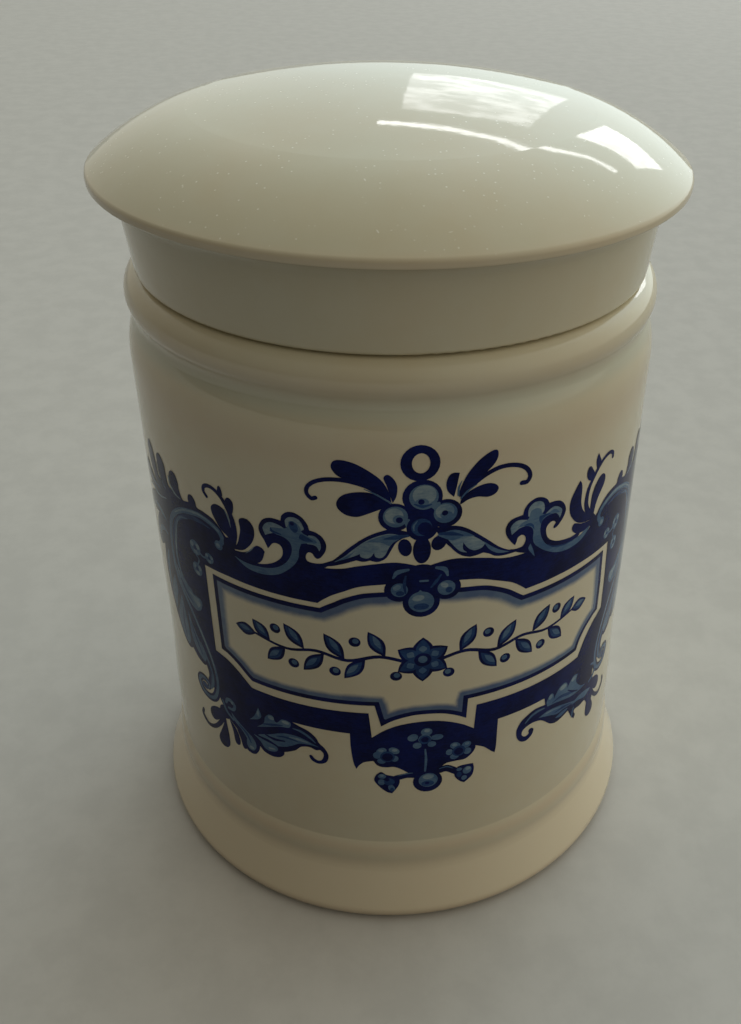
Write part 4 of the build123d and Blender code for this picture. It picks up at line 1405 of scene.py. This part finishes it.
class JAR_OT_paint_cartouche(bpy.types.Operator):
    """Paints the cartouche round the wall, one thin layer for each strength of cobalt"""

    bl_idname = "jar.paint_cartouche"
    bl_label = "Paint the cartouche"

    def execute(self, context):
        colours = context.scene.jar_glaze
        sizes = context.scene.jar_paint
        finishes = {
            "dark": cobalt("cobalt_dark", colours.cobalt_deep, colours.cobalt_deep_thin, colours),
            "mid": cobalt("cobalt_mid", colours.cobalt_mid, colours.cobalt_mid_thin, colours),
            "pale": cobalt("cobalt_pale", colours.cobalt_pale, colours.cobalt_pale_thin, colours),
            "faint": cobalt("cobalt_faint", colours.cobalt_pale_thin, colours.cobalt_faint, colours),
            "panel": panel_wash(colours),
        }
        layers = cartouche()
        flat, triangles, top = partition(layers, sizes.bend_step / MM)
        paints = np.array([paint for paint, _ in layers] + ["bare"])[top]
        for paint, material in finishes.items():
            piece, places = wrapped(f"painted_{paint}", flat, triangles[paints == paint], sizes.lift)
            if paint == "panel":
                inward = piece.data.attributes.new("inward", "FLOAT", "POINT")
                width = np.interp(places[:, 1], WASH_HEIGHTS, WASH_SHARES) * sizes.wash_width / MM
                reach = closeness(inset(line_outline(), LINE_WIDTH), places) / width
                inward.data.foreach_set("value", np.clip(reach, 0, 2).astype(np.float32))
            piece.data.materials.append(material)
            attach(piece, "jar")
        return {"FINISHED"}


class JAR_OT_set_stage(bpy.types.Operator):
    """Lays the floor, hangs the lamps and places the camera"""

    bl_idname = "jar.set_stage"
    bl_label = "Set the stage"

    def execute(self, context):
        settings = context.scene.jar_studio
        lay_floor(settings)
        hang_lamps(settings)
        light_room(context.scene, settings)
        place_camera(context.scene, settings)
        context.scene.view_settings.view_transform = "Standard"
        return {"FINISHED"}


def lay_floor(settings):
    """The pale floor. It throws back less light than it shows, as a darker one would."""
    half = settings.floor_size / 2
    mesh = bpy.data.meshes.new("floor")
    corners = [(-half, -half, 0), (half, -half, 0), (half, half, 0), (-half, half, 0)]
    mesh.from_pydata(corners, [], [(0, 1, 2, 3)])
    floor = bpy.data.objects.new("floor", mesh)
    bpy.context.collection.objects.link(floor)
    finish = Finish(bpy.data.materials.new("floor"))
    place = finish.place()
    mottle = finish.noise(place, 0.012, 5, 0.65)
    darker = tuple(0.93 * c for c in settings.floor_colour)
    tone = finish.mix(finish.ramp(mottle, 0.35, 0.65), settings.floor_colour, darker)
    seen = finish.node("ShaderNodeLightPath", output="Is Camera Ray")
    for ray in ("Is Glossy Ray", "Is Transmission Ray"):
        seen = seen + finish.node("ShaderNodeLightPath", output=ray)
    tone = finish.mix(seen, settings.floor_bounce, tone)
    floor.data.materials.append(finish.surface(Base_Color=tone, Roughness=0.8))


def hang_lamps(settings):
    """The windows behind the jar on the right, that its glaze mirrors."""
    for name, azimuth, elevation, width, height, share, clouding in WINDOWS:
        azimuth, elevation = math.radians(azimuth), math.radians(elevation)
        level = math.cos(elevation)
        toward = Vector((level * math.cos(azimuth), level * math.sin(azimuth), math.sin(elevation)))
        light = bpy.data.lights.new(name, "AREA")
        light.shape = "RECTANGLE"
        light.size, light.size_y = width, height
        light.energy = settings.window_power * share * width * height
        if clouding:
            cloud_window(light, clouding)
        lamp = bpy.data.objects.new(name, light)
        lamp.location = Vector((0, 0, 0.7 * JAR_TOP)) + WINDOW_DISTANCE * toward
        lamp.rotation_euler = toward.to_track_quat("Z", "Y").to_euler()
        bpy.context.collection.objects.link(lamp)


def cloud_window(light, clouding):
    """Dims the window in level streaks, as branches outside it do."""
    finish = Finish(light)
    across = finish.node("ShaderNodeNewGeometry", output="Parametric")
    branches = finish.noise(finish.stretched(across, (2.4, 0.7, 1)), 0.16, 4, 0.65)
    level = finish.ramp(branches, 0.42, 0.62, 1 - clouding)
    finish.node_out("ShaderNodeOutputLight", finish.node("ShaderNodeEmission", sockets={"Strength": level}))


def light_room(scene, settings):
    """Soft daylight from the windows' side and from above, and warm light from the walls on that side."""
    scene.world = bpy.data.worlds.new("room")
    finish = Finish(scene.world)
    direction = finish.place("Generated")
    right, back, up = (finish.part(direction, axis) for axis in (0, 1, 2))
    toward = right * DAY_SIDE[0] + back * DAY_SIDE[1] + up * DAY_SIDE[2]
    day = toward.math("MAXIMUM", toward, 0) ** DAY_FOCUS * settings.daylight
    walls = sum(side.math("MAXIMUM", side, 0) * share for side, share in zip((right, back, up), WALL_SIDES))
    lights = [
        finish.node("ShaderNodeBackground", sockets={"Color": colour4(tone), "Strength": strength})
        for tone, strength in (
            (settings.daylight_tone, day),
            (settings.wall_tone, walls * settings.wall_light),
        )
    ]
    lit = finish.node("ShaderNodeAddShader", sockets=dict(enumerate(lights)))
    seen = finish.node("ShaderNodeBackground", sockets={"Strength": SEEN_WORLD})
    ray = finish.node("ShaderNodeLightPath", output="Is Camera Ray")
    room = finish.node("ShaderNodeMixShader", sockets={0: ray, 1: lit, 2: seen})
    finish.node_out("ShaderNodeOutputWorld", room)


def place_camera(scene, settings):
    """The camera in front of the jar, looking down on it."""
    camera = bpy.data.objects.new("camera", bpy.data.cameras.new("camera"))
    camera.data.lens = settings.lens
    camera.data.sensor_width = 36
    camera.data.shift_x, camera.data.shift_y = CAMERA_SHIFT
    swing = Matrix.Rotation(settings.camera_swing, 4, "Z")
    place = swing @ Matrix.Translation((0, -settings.camera_distance, settings.camera_height))
    aim = Matrix.Rotation(CAMERA_PAN, 4, "Z") @ Matrix.Rotation(math.pi / 2 - CAMERA_TILT, 4, "X")
    camera.matrix_world = place @ aim @ Matrix.Rotation(CAMERA_ROLL, 4, "Z")
    bpy.context.collection.objects.link(camera)
    scene.camera = camera


class JAR_PT_sidebar(bpy.types.Panel):
    """The jar's pieces and stage, and what can be changed on them"""

    bl_idname = "JAR_PT_sidebar"
    bl_label = "Pharmacy Jar"
    bl_space_type = "VIEW_3D"
    bl_region_type = "UI"
    bl_category = "Jar"

    def draw(self, context):
        for operator in OPERATORS:
            self.layout.operator(operator.bl_idname)
        for group in (context.scene.jar_glaze, context.scene.jar_paint, context.scene.jar_studio):
            box = self.layout.box()
            for name in type(group).__annotations__:
                box.prop(group, name)


OPERATORS = (JAR_OT_glaze_jar, JAR_OT_glaze_lid, JAR_OT_paint_cartouche, JAR_OT_set_stage)
SETTINGS = {"jar_glaze": GlazeSettings, "jar_paint": PaintSettings, "jar_studio": StudioSettings}


def register():
    for kind in (*SETTINGS.values(), *OPERATORS, JAR_PT_sidebar):
        bpy.utils.register_class(kind)
    for name, kind in SETTINGS.items():
        setattr(bpy.types.Scene, name, bpy.props.PointerProperty(type=kind))


def unregister():
    for name in SETTINGS:
        delattr(bpy.types.Scene, name)
    for kind in (JAR_PT_sidebar, *reversed(OPERATORS), *reversed(SETTINGS.values())):
        bpy.utils.unregister_class(kind)


def main():
    register()
    bpy.ops.jar.glaze_jar()
    bpy.ops.jar.glaze_lid()
    bpy.ops.jar.paint_cartouche()
    bpy.ops.jar.set_stage()


if __name__ == "__main__":
    main()
